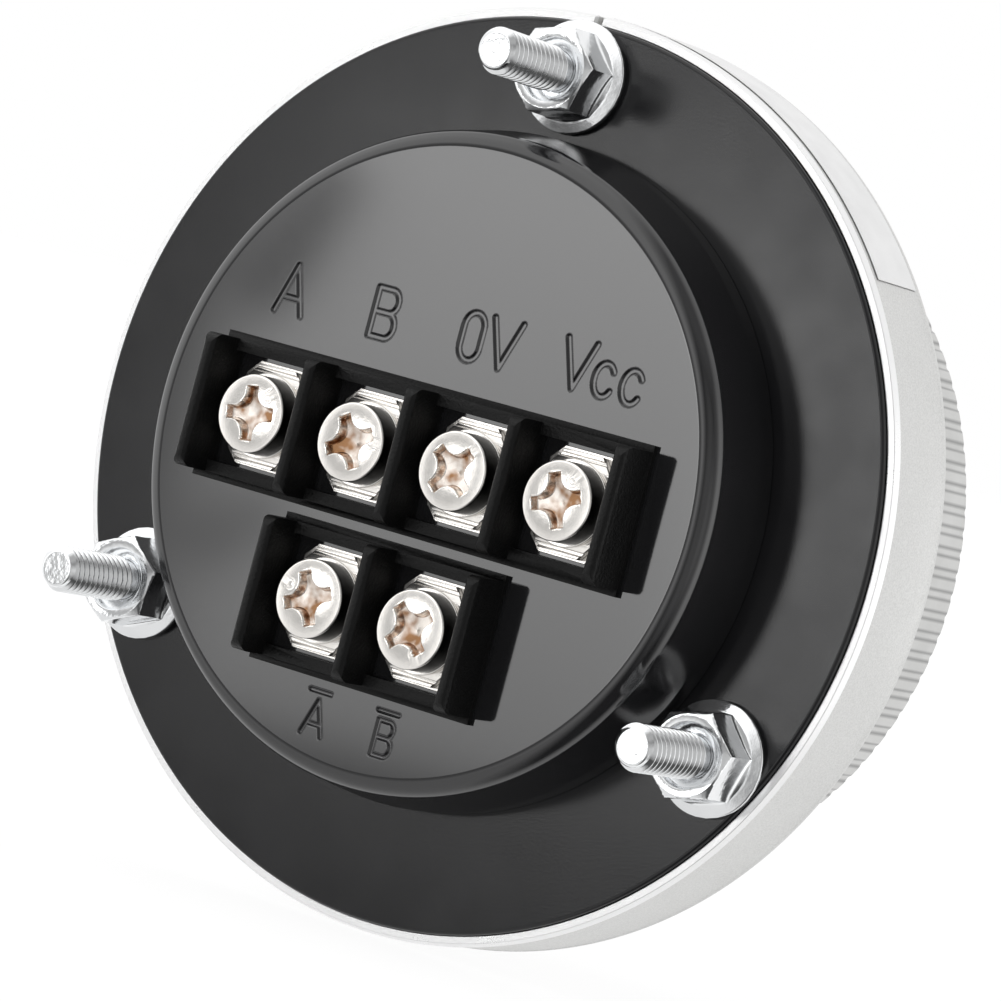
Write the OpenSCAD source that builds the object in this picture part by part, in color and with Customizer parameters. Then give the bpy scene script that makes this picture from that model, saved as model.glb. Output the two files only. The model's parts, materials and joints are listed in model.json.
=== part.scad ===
// Panel-mounted pulse generator handwheel: a knurled wheel with a crank knob on the front,
// three mounting studs and six screw terminals on the back.
//
// Every piece is drawn as it is seen from behind, lying on its dial: x to the right, y up and
// z towards the rear, with z = 0 where the gasket meets the panel. from_behind() then stands the
// piece up, so that the wheel faces -Y, the terminals face +Y and +Z is up.

/* [Flange] */
// Outside diameter of the flange
flange_d = 80; // [76:0.5:96]
// Thickness of the flange metal
flange_t = 8.5; // [7.4:0.1:9.5]
// Thickness of the web that closes the flange's front
web_t = 2; // [1.6:0.1:2.4]
// Rounding of the flange's front edge
flange_round = 0.8; // [0.4:0.1:1.2]
// Chamfer of the flange's rear edge
flange_chamfer = 0.55; // [0.3:0.05:0.8]
// Thickness of the panel gasket
gasket_t = 1; // [0.6:0.1:1.6]
// Width of bare metal around the gasket
gasket_margin = 0.95; // [0.6:0.05:1.6]

/* [Studs and nuts] */
// Number of mounting studs
stud_n = 3; // [3:1:3]
// Diameter of the stud circle
stud_pcd = 68.7; // [67.5:0.1:69.6]
// Thread diameter of the studs
stud_d = 4; // [3.5:0.5:4]
// Length of stud behind the panel face
stud_out = 13.3; // [10:0.1:20]
// Length of stud screwed into the flange
stud_in = 5.6; // [4.5:0.1:6]
// Width of a nut across its flats
nut_af = 7; // [6.5:0.1:7.4]
// Height of a nut
nut_h = 4.65; // [4:0.05:5]
// Diameter of a nut's own flange
nut_flange_d = 9.8; // [9:0.1:10.2]

/* [Rear cover] */
// Outside diameter of the rear cover, which passes through the panel
cover_d = 57.8; // [54:0.1:58]
// Height of the cover above the panel face
cover_h = 8.2; // [7.8:0.1:10]
// Thickness of the cover's wall and floor
cover_wall = 1.8; // [1.4:0.1:2]
// Rounding of the cover's rim
cover_round = 1.6; // [0.8:0.1:1.8]
// Angle in degrees by which the cover's side leans in above the panel
cover_draft = 9.5; // [0:0.5:10]

/* [Terminals] */
// Distance from one terminal to the next
pitch = 10.5; // [10:0.1:10.8]
// Number of terminals in the upper row
upper_n = 4; // [4:1:4]
// Number of terminals in the lower row
lower_n = 2; // [1:1:2]
// Distance between the two rows
row_gap = 13.5; // [13.4:0.1:13.7]
// Width of a terminal strip
strip_w = 12.7; // [12:0.1:13.1]
// Thickness of a barrier wall at its foot
barrier_t = 1.7; // [1.4:0.1:2]
// Height of the barrier walls above the cover
barrier_h = 4.4; // [3.6:0.1:5.5]
// Thread diameter of the terminal screws
terminal_d = 3.5; // [3:0.1:3.6]
// Head diameter of the terminal screws
terminal_head_d = 6.7; // [6:0.1:7]
// Head height of the terminal screws
terminal_head_h = 2.1; // [1.8:0.1:2.6]

/* [Handwheel] */
// Diameter of the knurled rim
wheel_d = 64.8; // [63:0.1:68]
// Length of the wheel from its rear edge to its face
wheel_l = 18.9; // [18.5:0.1:23]
// Thickness of the rim
rim_t = 3; // [2.8:0.1:3.6]
// Number of grip flutes round the rim
flute_n = 110; // [60:2:120]
// Depth of a grip flute
flute_depth = 0.42; // [0.2:0.02:0.5]
// Gap between the wheel and the flange
wheel_gap = 0.7; // [0.5:0.1:1]
// Thickness of the dial plate
dial_t = 0.8; // [0.5:0.1:1]

/* [Crank] */
// Distance of the crank knob from the wheel's axis
crank_r = 20.6; // [20:0.1:22]
// Largest diameter of the crank knob
knob_d = 14.5; // [13:0.5:16]
// Length of the crank knob
knob_l = 23.5; // [21:0.5:30]
// Diameter of the crank pin's spindle
crank_pin_d = 6; // [5:0.1:6]

/* [Shaft and bearings] */
// Diameter of the shaft in its bearings
shaft_d = 8; // [7:0.5:9.5]
// Outside diameter of the bearings
bearing_d = 16; // [15:0.5:19]
// Width of a bearing
bearing_w = 5; // [4:0.5:5]
// Gap between the two bearings
bearing_gap = 1.5; // [1:0.1:1.5]
// Number of balls in a bearing
ball_n = 9; // [7:1:10]
// Diameter of a ball
ball_d = 2; // [1.8:0.1:2.1]

/* [Encoder and detent] */
// Number of slots in the code disc
slot_n = 100; // [50:25:100]
// Diameter of the code disc
disc_d = 34; // [32:0.5:35]
// Number of detent teeth in one turn
tooth_n = 100; // [50:25:100]
// Depth of a detent tooth
tooth_depth = 0.8; // [0.5:0.1:1]
// Gap between the detent teeth and the pole shoes
detent_gap = 0.35; // [0.3:0.05:0.5]

/* [Hidden] */
$fn = 72;

cut = 1;               // how far a cutting tool runs past the face it opens
thread_gap = 0.02;     // between a screw and its tapped hole
fit_gap = 0.01;        // between a bearing race and its seat
run_gap = 0.05;        // between a turning part and what guides it
hole_gap = 0.2;        // around a screw in a plain hole
slip_gap = 0.2;        // around a moulding in its opening
shoulder = 0.5;        // step by which the cover rests on the gasket's inner edge

// flange, front to back
flange_r = flange_d / 2;
flange_rear = -gasket_t;
flange_front = flange_rear - flange_t;
web_rear = flange_front + web_t;
gasket_r = flange_r - gasket_margin;
cover_r = cover_d / 2;
skirt_r = cover_r - shoulder;
cavity_r = skirt_r + slip_gap;
gasket_bore_r = skirt_r + slip_gap;
stud_angles = [for (i = [0 : stud_n - 1]) 90 + i * 360 / stud_n];
stud_root_r = 0.885 * stud_d / 2;
nut_turns = [11, 22, 13];
wheel_r = wheel_d / 2;
rim_in_r = wheel_r - rim_t;
wheel_rear = flange_front - wheel_gap;

// bearings and shaft
bore_r = bearing_d / 2;
shaft_r = shaft_d / 2;
boss_wall = 3;
boss_r = bore_r + boss_wall;
lip_t = 0.8;
lip_r = bore_r - 0.8;
boss_rear = flange_rear - 0.2;
clip_t = 1;
rear_bearing_z = boss_rear - 0.5 - clip_t - bearing_w;
front_bearing_z = rear_bearing_z - bearing_gap - bearing_w;
boss_front = front_bearing_z - lip_t;
ball_r = ball_d / 2;
race_mid_r = (bore_r + shaft_r) / 2;
race_step = 0.9;
groove_gap = 0.04;
collar_r = shaft_r + 1.2;
collar_front = boss_front - 0.9;

// rear cover
cover_floor = cover_h - cover_wall;
cover_inner_r = skirt_r - cover_wall;
boss_circle_r = min(cover_inner_r - 2.6, rim_in_r - 3.2);
cover_boss_r = 2.3;
cover_screw_r = 1.25;
cover_screw_in = 7;

// circuit board
board_t = 1.6;
board_rear = cover_floor - 1.6;
board_front = board_rear - board_t;
board_r = cover_inner_r - 1.1;
standoff_circle_r = board_r - 2.2;
standoff_af = 5;
board_screw_r = 1.25;
standoff_angles = [30, 150, 270];
cover_boss_angles = [90, 210, 330];

// terminals
ledge_t = 0.5;
ledge_top = cover_h + ledge_t;
bay_floor = cover_h - 0.6;
plate_t = 0.8;
plate_top = bay_floor + plate_t;
clamp_t = 0.7;
washer_top = plate_top + clamp_t;
head_seat = washer_top + 0.4;
head_washer_r = terminal_head_d / 2 + 0.3;
lip_top = cover_h + 1.1;
barrier_top = cover_h + barrier_h;
barrier_tip_t = barrier_t - 0.5;
barrier_inset = 0.55;
bay_w = pitch - barrier_t;
bay_l = strip_w - 2 * 1.55;
plate_w = 7;
plate_l = bay_l - 0.6;
terminal_r = terminal_d / 2;
leg_w = 2;
leg_y = -plate_l / 2 + 0.9;

// handwheel
wheel_front = wheel_rear - wheel_l;
face_t = 3;
face_rear = wheel_front + face_t;
dial_floor = wheel_front + dial_t;
dial_r = rim_in_r - 0.2;
hub_r = 9.5;
cap_r = 10;
well_r = 7.2;
well_floor = wheel_front + 4.4;
washer_t = 0.8;
wheel_nut_t = 2.4;
shaft_thread_r = 3;
shaft_front = well_floor - washer_t - wheel_nut_t - 0.2;

// crank
pin_r = crank_pin_d / 2;
pin_collar_r = pin_r + 1.4;
pin_collar_front = wheel_front - 1.2;
crank_thread_r = 2.5;
crank_boss_r = 5;
crank_boss_rear = face_rear + 3.6;
knob_gap = 0.4;
knob_rear = pin_collar_front - knob_gap;
knob_front = knob_rear - knob_l;
knob_well_floor = knob_front + 6.4;
bush_t = 1;
retainer_r = pin_r + run_gap + bush_t + 0.4;
knob_well_r = retainer_r + 0.55;
bush_l = knob_rear - knob_well_floor - 0.4;
pin_front = knob_well_floor - 0.2;

// encoder
disc_r = disc_d / 2;
disc_t = 0.2;
disc_z = 0.3;
hub_shoulder_r = 7.5;
disc_seat_r = 5;
shaft_rear_r = 3;
shaft_rear = board_front - 1.2;

// magnetic detent
ring_r = rim_in_r;
ring_tip_r = ring_r - 2.8;
ring_rear = flange_front - 3;
ring_l = 4.8;
pole_r = ring_tip_r - detent_gap;
pole_in_r = pole_r - 8.2;
stack_r = pole_r - 1.25;
pole_t = 1.2;
pole_pitch = 360 / tooth_n;
pole_teeth = 7;
detent_angle = 180;

// ---------------------------------------------------------------- helpers

// stands a piece up: z, which runs towards the rear, becomes +Y
module from_behind() {
  rotate([90, 0, 180]) children();
}

module at_angle(r, a) {
  rotate(a) translate([r, 0, 0]) children();
}

// a round bar from z0 to z1
module bar(r, z0, z1) {
  translate([0, 0, z0]) cylinder(r = r, h = z1 - z0);
}

// a ring from z0 to z1
module ring(r_out, r_in, z0, z1) {
  difference() {
    bar(r_out, z0, z1);
    bar(r_in, z0 - cut, z1 + cut);
  }
}

// a hexagon bar, across its flats
module hex_bar(af, z0, z1) {
  translate([0, 0, z0]) cylinder(d = af / cos(30), h = z1 - z0, $fn = 6);
}

// a block centred on x and y, from z0 to z1
module block(size_x, size_y, z0, z1) {
  translate([-size_x / 2, -size_y / 2, z0]) cube([size_x, size_y, z1 - z0]);
}

// a pan head that stands on z = 0 and points to +z
module pan_head(d, h, crown) {
  rotate_extrude() {
    square([d / 2, h - crown]);
    intersection() {
      translate([0, h - crown - 2 * d]) circle(r = 2 * d + crown);
      translate([0, h - crown]) square([d / 2 - 0.25, crown]);
    }
  }
}

// a cross recess whose mouth is at z = 0
module cross_recess(width, depth) {
  arm = 0.25 * width;
  for (a = [0, 90])
    rotate(a) rotate([90, 0, 0]) linear_extrude(arm, center = true)
      polygon([[-width / 2, cut], [-width / 2, 0], [-width / 4, -depth],
        [width / 4, -depth], [width / 2, 0], [width / 2, cut]]);
  translate([0, 0, -0.8 * depth]) cylinder(r1 = 0.1 * width, r2 = 0.27 * width, h = 0.8 * depth + cut);
}

// a pan-head screw: its head stands on z = 0 and its shank points to -z
module pan_screw(d, length, head_d, head_h, crown = 0.45) {
  difference() {
    union() {
      pan_head(head_d, head_h, crown);
      bar(d / 2, -length, 0.1);
    }
    translate([0, 0, head_h]) cross_recess(0.68 * head_d, 0.62 * head_h);
  }
}

// outline of teeth from angle a0 on: each has a tip at r_tip and a root at r_root
function tooth_points(n, step, a0, r_tip, r_root) = [
  for (i = [0 : n - 1], k = [0 : 3])
    let (a = a0 + step * (i + [0, 0.14, 0.5, 0.64][k]), r = (k == 1 || k == 2) ? r_tip : r_root)
      [r * cos(a), r * sin(a)]
];

// ---------------------------------------------------------------- flange and its seals

module flange_section() {
  difference() {
    union() {
      polygon([
        [lip_r, boss_front], [boss_r, boss_front], [boss_r, flange_front],
        [flange_r - flange_round, flange_front], [flange_r, flange_front + flange_round],
        [flange_r, flange_rear - flange_chamfer], [flange_r - flange_chamfer, flange_rear],
        [cavity_r, flange_rear], [cavity_r, web_rear], [boss_r, web_rear], [boss_r, boss_rear],
        [bore_r + fit_gap, boss_rear], [bore_r + fit_gap, front_bearing_z], [lip_r, front_bearing_z]
      ]);
      translate([flange_r - flange_round, flange_front + flange_round]) circle(r = flange_round);
    }
    // groove for the felt seal
    translate([seal_r - seal_w / 2, flange_front - cut]) square([seal_w, seal_in + cut]);
    // groove for the bearing circlip
    translate([bore_r - cut, boss_rear - 0.5 - clip_t]) square([cut + 0.45, clip_t + 0.05]);
  }
}

seal_r = rim_in_r + rim_t / 2;
seal_w = rim_t - 0.6;
seal_in = 0.5;

module flange_ring() color("silver") from_behind() difference() {
  rotate_extrude() flange_section();
  // tapped blind holes for the studs
  for (a = stud_angles) at_angle(stud_pcd / 2, a)
    bar(stud_root_r + thread_gap, flange_rear - stud_in - 0.4, flange_rear + cut);
  // clearance holes for the cover's screws
  for (a = cover_boss_angles) at_angle(boss_circle_r, a)
    bar(cover_screw_r + hole_gap, flange_front - cut, web_rear + cut);
  // tapped holes for the board's standoffs
  for (a = standoff_angles) at_angle(standoff_circle_r, a)
    bar(board_screw_r + thread_gap, flange_front + 0.3, web_rear + cut);
  // tapped holes for the detent's screws
  for (a = detent_screw_angles) at_angle(detent_screw_circle_r, a)
    bar(board_screw_r + thread_gap, flange_front - cut, web_rear + cut);
  // pocket for the index mark
  at_angle(index_r, 90) index_shape(slip_gap / 4, flange_front - cut, flange_front + index_in);
}

module felt_seal() color("dimgray") from_behind()
  ring(seal_r + seal_w / 2 - fit_gap, seal_r - seal_w / 2 + fit_gap,
    wheel_rear + 0.2, flange_front + seal_in);

module gasket() color([0.2, 0.2, 0.21]) from_behind() difference() {
  ring(gasket_r, gasket_bore_r, flange_rear, 0);
  for (a = stud_angles) at_angle(stud_pcd / 2, a)
    bar(stud_d / 2 + hole_gap, flange_rear - cut, cut);
}

index_r = (wheel_r + flange_r) / 2 + 0.2;
index_in = 0.4;
index_out = 0.15;

// a narrow triangle that points at the wheel
module index_shape(grow, z0, z1) {
  long = 2 + grow;
  wide = 1.2 + grow;
  translate([0, 0, z0]) linear_extrude(z1 - z0)
    polygon([[-long, 0], [long, -wide], [long, wide]]);
}

module index_mark() color("black") from_behind()
  at_angle(index_r, 90) index_shape(0, flange_front - index_out, flange_front + index_in);

// the plain foil label that wraps part of the flange's side
label_from = 37;
label_to = 92;
label_t = 0.06;
label_margin = 0.25;

module side_label() color("gainsboro") from_behind()
  translate([0, 0, flange_front + flange_round + label_margin]) rotate(label_from)
    rotate_extrude(angle = label_to - label_from) translate([flange_r + fit_gap, 0])
      square([label_t, flange_t - flange_round - flange_chamfer - 2 * label_margin]);

// ---------------------------------------------------------------- studs and nuts

module stud() {
  end_chamfer = 0.5;
  thread_from = nut_h + 0.1;
  rotate_extrude() polygon([
    [0, flange_rear - stud_in], [stud_root_r - 0.4, flange_rear - stud_in],
    [stud_root_r, flange_rear - stud_in + 0.4], [stud_root_r, thread_from],
    [stud_d / 2, thread_from + 0.1], [stud_d / 2, stud_out - end_chamfer],
    [stud_d / 2 - end_chamfer, stud_out], [0, stud_out]
  ]);
}

module studs() color("gainsboro") from_behind()
  for (a = stud_angles) at_angle(stud_pcd / 2, a) stud();

// a hexagon flange nut that stands on z = 0
module flange_nut() {
  brim_t = 0.9;
  cone_h = 1.1;
  mouth_r = 0.69 * stud_d;
  mouth_h = mouth_r - stud_root_r;
  difference() {
    union() {
      rotate_extrude() polygon([[0, 0], [nut_flange_d / 2 - 0.3, 0], [nut_flange_d / 2, brim_t * 0.45],
        [nut_flange_d / 2, brim_t * 0.75], [nut_flange_d / 2 - 0.25, brim_t], [nut_af / 2 - 0.3, brim_t + cone_h], [0, brim_t + cone_h]]);
      intersection() {
        hex_bar(nut_af, brim_t * 0.5, nut_h);
        rotate_extrude() polygon([[0, 0], [nut_af, 0], [nut_af, nut_h - 0.58 * (nut_af * 0.57)],
          [nut_af / 2 - 0.1, nut_h], [0, nut_h]]);
      }
    }
    bar(stud_root_r + thread_gap, -cut, nut_h + cut);
    translate([0, 0, nut_h - mouth_h]) cylinder(r1 = stud_root_r, r2 = mouth_r, h = mouth_h);
    translate([0, 0, nut_h - 0.001]) cylinder(r = mouth_r, h = cut);
  }
}

module flange_nuts() color("gainsboro") from_behind()
  for (i = [0 : stud_n - 1]) rotate(stud_angles[i]) translate([stud_pcd / 2, 0, 0])
    rotate(nut_turns[i] - stud_angles[i]) flange_nut();

// ---------------------------------------------------------------- rear cover

cover_land = 2;

// below its rounded rim the cover leans in a little; next to the panel it is a plain cylinder
module cover_section() {
  rim_z = cover_h - cover_round;
  lean = (rim_z + cover_round * sin(cover_draft) - cover_land) * tan(cover_draft);
  rim_r = cover_r - lean - cover_round * cos(cover_draft);
  difference() {
    union() {
      translate([0, web_rear]) square([skirt_r, 0.1 - web_rear]);
      polygon([[0, 0], [cover_r, 0], [cover_r, cover_land],
        [cover_r - lean, rim_z + cover_round * sin(cover_draft)], [rim_r, cover_h], [0, cover_h]]);
      translate([rim_r, rim_z]) circle(r = cover_round);
    }
    translate([-cut, web_rear - cut]) square([cover_inner_r + cut, cover_floor - web_rear + cut]);
  }
}

module rear_cover() color([0.08, 0.08, 0.09]) from_behind() difference() {
  union() {
    rotate_extrude() intersection() {
      cover_section();
      translate([0, web_rear]) square([cover_r, cover_h - web_rear]);
    }
    for (a = cover_boss_angles) at_angle(boss_circle_r, a) {
      bar(cover_boss_r, web_rear, cover_floor + 0.1);
      translate([0, -cover_boss_r / 2, web_rear + 0.5])
        cube([cover_inner_r - boss_circle_r + 0.3, cover_boss_r, cover_floor - web_rear - 0.4]);
    }
  }
  for (a = cover_boss_angles) at_angle(boss_circle_r, a)
    bar(cover_screw_r + thread_gap, web_rear - cut, web_rear + cover_screw_in + 0.5);
  // openings for the two terminal strips
  strip_opening(upper_n);
  translate([0, -row_gap, 0]) strip_opening(lower_n);
}

module strip_opening(n) {
  block(n * pitch - 0.8 + slip_gap, strip_w - 2 + slip_gap, board_rear - cut, cover_h + cut);
}

module cover_screws() color("gray") from_behind()
  for (a = cover_boss_angles) at_angle(boss_circle_r, a) translate([0, 0, flange_front])
    mirror([0, 0, 1]) pan_screw(2 * cover_screw_r, web_t + cover_screw_in, 4.4, 1.5);

// ---------------------------------------------------------------- terminals

function bay_x(i, n) = (i - (n - 1) / 2) * pitch;

// cross section of a barrier wall: tapered, with a rounded ridge
module barrier_section() {
  tip_r = barrier_tip_t / 2;
  translate([0, ledge_top - 0.2]) {
    polygon([[-barrier_t / 2, 0], [barrier_t / 2, 0],
      [tip_r, barrier_top - tip_r - ledge_top + 0.2], [-tip_r, barrier_top - tip_r - ledge_top + 0.2]]);
    translate([0, barrier_top - tip_r - ledge_top + 0.2]) circle(r = tip_r);
  }
}

module barrier_wall() {
  wall_l = strip_w - 2 * barrier_inset;
  end = wall_l / 2;
  corner = 1.2;
  intersection() {
    translate([0, end, 0]) rotate([90, 0, 0]) linear_extrude(wall_l) barrier_section();
    rotate([90, 0, 90]) linear_extrude(2 * barrier_t, center = true) {
      polygon([[-end, cover_h], [end, cover_h], [end, barrier_top - corner],
        [end - corner, barrier_top], [corner - end, barrier_top], [-end, barrier_top - corner]]);
      for (s = [-1, 1]) translate([s * (end - corner), barrier_top - corner]) circle(r = corner);
    }
  }
}

module terminal_block(n) {
  strip_l = n * pitch + barrier_t;
  difference() {
    union() {
      block(strip_l, strip_w, cover_h, ledge_top);
      block(n * pitch - 0.8, strip_w - 2, board_rear, cover_h + 0.1);
      // low lips above and below the bays
      for (y = [-1, 1]) translate([0, y * (bay_l / 2 + 0.5), 0])
        block(n * pitch, 1, cover_h, lip_top);
    }
    for (i = [0 : n - 1]) translate([bay_x(i, n), 0, 0]) {
      block(bay_w, bay_l, bay_floor, lip_top + cut);
      bar(terminal_r + hole_gap, board_rear + 0.6, bay_floor + cut);
      translate([0, leg_y, 0])
        block(leg_w + hole_gap, plate_t + hole_gap, board_rear - cut, bay_floor + cut);
    }
  }
  for (i = [0 : n]) translate([bay_x(i - 0.5, n), 0, 0]) barrier_wall();
}

module upper_terminal_block() color([0.1, 0.1, 0.1]) from_behind() terminal_block(upper_n);

module lower_terminal_block() color([0.1, 0.1, 0.1]) from_behind()
  translate([0, -row_gap, 0]) terminal_block(lower_n);

// a tapped plate with cut corners and a leg that is soldered into the board
module terminal_plate() {
  corner = 1.2;
  x = plate_w / 2;
  y = plate_l / 2;
  difference() {
    translate([0, 0, bay_floor]) linear_extrude(plate_t)
      polygon([[-x, corner - y], [corner - x, -y], [x - corner, -y], [x, corner - y],
        [x, y - corner], [x - corner, y], [corner - x, y], [-x, y - corner]]);
    bar(terminal_r + thread_gap, bay_floor - cut, plate_top + cut);
  }
  translate([0, leg_y, 0]) block(leg_w, plate_t, board_front - 0.8, bay_floor + 0.1);
}

// a clamp plate with cut corners and grooves that grip the wire
module clamp_washer() {
  x = plate_w / 2;
  y = plate_l / 2 - 0.2;
  corner = 1.6;
  step = 0.35;
  difference() {
    translate([0, 0, plate_top]) linear_extrude(clamp_t)
      polygon([for (q = [[1, 1], [-1, 1], [-1, -1], [1, -1]], k = q[0] * q[1] > 0 ? [0 : 3] : [3 : -1 : 0])
        [q[0] * [x, x - step, x - step, x - corner][k], q[1] * [y - corner - step, y - corner - step, y - corner, y][k]]]);
    bar(terminal_r + hole_gap, plate_top - cut, washer_top + cut);
    for (s = [-1, 1], i = [0 : 1]) translate([0, s * (y - 0.75 * i - 0.5), washer_top - 0.18])
      block(plate_w, 0.32, 0, cut);
  }
}

// a round washer held under the head of a terminal screw
module head_washer()
  ring(head_washer_r, terminal_r + hole_gap, washer_top, head_seat);

recess_turns = [8, 28, 50, 20];

module terminal_screw(turn) translate([0, 0, head_seat]) rotate(turn)
  pan_screw(terminal_d, head_seat - board_rear - 0.9, terminal_head_d, terminal_head_h, 0.3);

module upper_terminal_plates() color("gainsboro") from_behind()
  for (i = [0 : upper_n - 1]) translate([bay_x(i, upper_n), 0, 0]) terminal_plate();

module lower_terminal_plates() color("gainsboro") from_behind()
  for (i = [0 : lower_n - 1]) translate([bay_x(i, lower_n), -row_gap, 0]) terminal_plate();

module upper_clamp_washers() color("white") from_behind()
  for (i = [0 : upper_n - 1]) translate([bay_x(i, upper_n), 0, 0]) clamp_washer();

module lower_clamp_washers() color("white") from_behind()
  for (i = [0 : lower_n - 1]) translate([bay_x(i, lower_n), -row_gap, 0]) clamp_washer();

module upper_head_washers() color("gainsboro") from_behind()
  for (i = [0 : upper_n - 1]) translate([bay_x(i, upper_n), 0, 0]) head_washer();

module lower_head_washers() color("gainsboro") from_behind()
  for (i = [0 : lower_n - 1]) translate([bay_x(i, lower_n), -row_gap, 0]) head_washer();

module upper_terminal_screws() color("ivory") from_behind()
  for (i = [0 : upper_n - 1]) translate([bay_x(i, upper_n), 0, 0]) terminal_screw(recess_turns[i]);

module lower_terminal_screws() color("ivory") from_behind()
  for (i = [0 : lower_n - 1]) translate([bay_x(i, lower_n), -row_gap, 0])
    terminal_screw(recess_turns[i] + 15);

// ---------------------------------------------------------------- circuit board

module circuit_board() color("darkgreen") from_behind() difference() {
  bar(board_r, board_front, board_rear);
  for (a = cover_boss_angles) at_angle(boss_circle_r, a) {
    bar(cover_boss_r + 0.3, board_front - cut, board_rear + cut);
    translate([0, -cover_boss_r - 0.3, board_front - cut])
      cube([4, 2 * cover_boss_r + 0.6, board_t + 2 * cut]);
  }
  for (a = standoff_angles) at_angle(standoff_circle_r, a)
    bar(board_screw_r + 0.1, board_front - cut, board_rear + cut);
  for (i = [0 : upper_n - 1]) translate([bay_x(i, upper_n), leg_y, 0])
    bar(leg_w / 2 + 0.15, board_front - cut, board_rear + cut);
  for (i = [0 : lower_n - 1]) translate([bay_x(i, lower_n), leg_y - row_gap, 0])
    bar(leg_w / 2 + 0.15, board_front - cut, board_rear + cut);
}

module board_standoffs() color("goldenrod") from_behind()
  for (a = standoff_angles) at_angle(standoff_circle_r, a) {
    difference() {
      hex_bar(standoff_af, web_rear, board_front);
      bar(board_screw_r + thread_gap, board_front - 4.5, board_front + cut);
    }
    bar(board_screw_r, flange_front + 0.5, web_rear + 0.1);
  }

module board_screws() color("gray") from_behind()
  for (a = standoff_angles) at_angle(standoff_circle_r, a) translate([0, 0, board_rear])
    pan_screw(2 * board_screw_r, board_t + 4, 4.4, 1.4);

sensor_r = disc_r - 3.4;

// a fork that straddles the rim of the code disc
module photo_sensor() color([0.12, 0.12, 0.14]) from_behind() difference() {
  translate([sensor_r, -3, disc_z - 2.6]) cube([6.6, 6, board_front - disc_z + 2.6]);
  translate([sensor_r - cut, -4, disc_z - 0.8]) cube([4 + cut, 8, 0.8 + 1.8]);
}

module line_driver_chip() color([0.15, 0.15, 0.15]) from_behind() translate([-13, 3, 0]) {
  block(10, 4, board_front - 1.5, board_front - 0.1);
  for (i = [0 : 7], y = [-1, 1]) translate([(i - 3.5) * 1.27, y * 2.4, 0])
    block(0.4, 1.2, board_front - 0.9, board_front);
}

module board_capacitors() color("darkkhaki") from_behind()
  for (p = [[-9, -6], [-9, -10], [2, 14]]) translate([p[0], p[1], 0])
    block(3.5, 2.8, board_front - 1.6, board_front);

// ---------------------------------------------------------------- bearings

// outer or inner race of a bearing that starts at z
module bearing_outer(z) rotate_extrude() difference() {
  translate([race_mid_r + race_step, z]) square([bore_r - race_mid_r - race_step, bearing_w]);
  translate([race_mid_r, z + bearing_w / 2]) circle(r = ball_r + groove_gap);
}

module bearing_inner(z) rotate_extrude() difference() {
  translate([shaft_r + fit_gap, z])
    square([race_mid_r - race_step - shaft_r - fit_gap, bearing_w]);
  translate([race_mid_r, z + bearing_w / 2]) circle(r = ball_r + groove_gap);
}

module bearing_balls(z)
  for (i = [0 : ball_n - 1]) at_angle(race_mid_r, i * 360 / ball_n)
    translate([0, 0, z + bearing_w / 2]) sphere(r = ball_r);

module bearing_cage(z) difference() {
  ring(race_mid_r + 0.45, race_mid_r - 0.45, z + bearing_w / 2 - 0.6, z + bearing_w / 2 + 1.6);
  for (i = [0 : ball_n - 1]) at_angle(race_mid_r, i * 360 / ball_n)
    translate([0, 0, z + bearing_w / 2]) sphere(r = ball_r + run_gap);
}

module front_bearing_outer() color("lightsteelblue") from_behind() bearing_outer(front_bearing_z);
module rear_bearing_outer() color("lightsteelblue") from_behind() bearing_outer(rear_bearing_z);
module front_bearing_inner() color("lightsteelblue") from_behind() bearing_inner(front_bearing_z);
module rear_bearing_inner() color("lightsteelblue") from_behind() bearing_inner(rear_bearing_z);
module front_bearing_balls() color("white") from_behind() bearing_balls(front_bearing_z);
module rear_bearing_balls() color("white") from_behind() bearing_balls(rear_bearing_z);
module front_bearing_cage() color("peru") from_behind() bearing_cage(front_bearing_z);
module rear_bearing_cage() color("peru") from_behind() bearing_cage(rear_bearing_z);

module outer_race_spacer() color("tan") from_behind()
  ring(bore_r - fit_gap, race_mid_r + race_step, front_bearing_z + bearing_w, rear_bearing_z);

module inner_race_spacer() color("tan") from_behind()
  ring(race_mid_r - race_step, shaft_r + fit_gap, front_bearing_z + bearing_w, rear_bearing_z);

// a snap ring with a gap, from z0 to z1
module snap_ring(r_out, r_in, gap, z0, z1) difference() {
  ring(r_out, r_in, z0, z1);
  translate([0, -gap / 2, z0 - cut]) cube([r_out + cut, gap, z1 - z0 + 2 * cut]);
}

module bearing_circlip() color("gray") from_behind()
  snap_ring(bore_r + 0.42, bore_r - 1.2, 4, rear_bearing_z + bearing_w, rear_bearing_z + bearing_w + clip_t);

shaft_clip_t = 0.8;

module shaft_circlip() color("gray") from_behind()
  snap_ring(shaft_r + 1.5, shaft_r - 0.4, 3,
    rear_bearing_z + bearing_w, rear_bearing_z + bearing_w + shaft_clip_t);

// ---------------------------------------------------------------- magnetic detent

detent_screw_circle_r = pole_r - 5.8;
detent_screw_turn = asin(2.85 / detent_screw_circle_r);
detent_screw_angles = [detent_angle - detent_screw_turn, detent_angle + detent_screw_turn];
stack_half = 1.8 * detent_screw_turn;
pole_front_z = ring_rear - ring_l;

// a block of the detent stack: a sector from z0 to z1, drilled for the two screws
module stack_piece(r_out, half_angle, z0, z1) difference() {
  intersection() {
    ring(r_out, pole_in_r, z0, z1);
    rotate(detent_angle) translate([0, 0, z0 - cut]) linear_extrude(z1 - z0 + 2 * cut)
      polygon([[0, 0], 40 * [cos(half_angle), -sin(half_angle)], 40 * [cos(half_angle), sin(half_angle)]]);
  }
  stack_holes(z0, z1);
}

module stack_holes(z0, z1)
  for (a = detent_screw_angles) at_angle(detent_screw_circle_r, a)
    bar(board_screw_r + 0.1, z0 - cut, z1 + cut);

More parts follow.
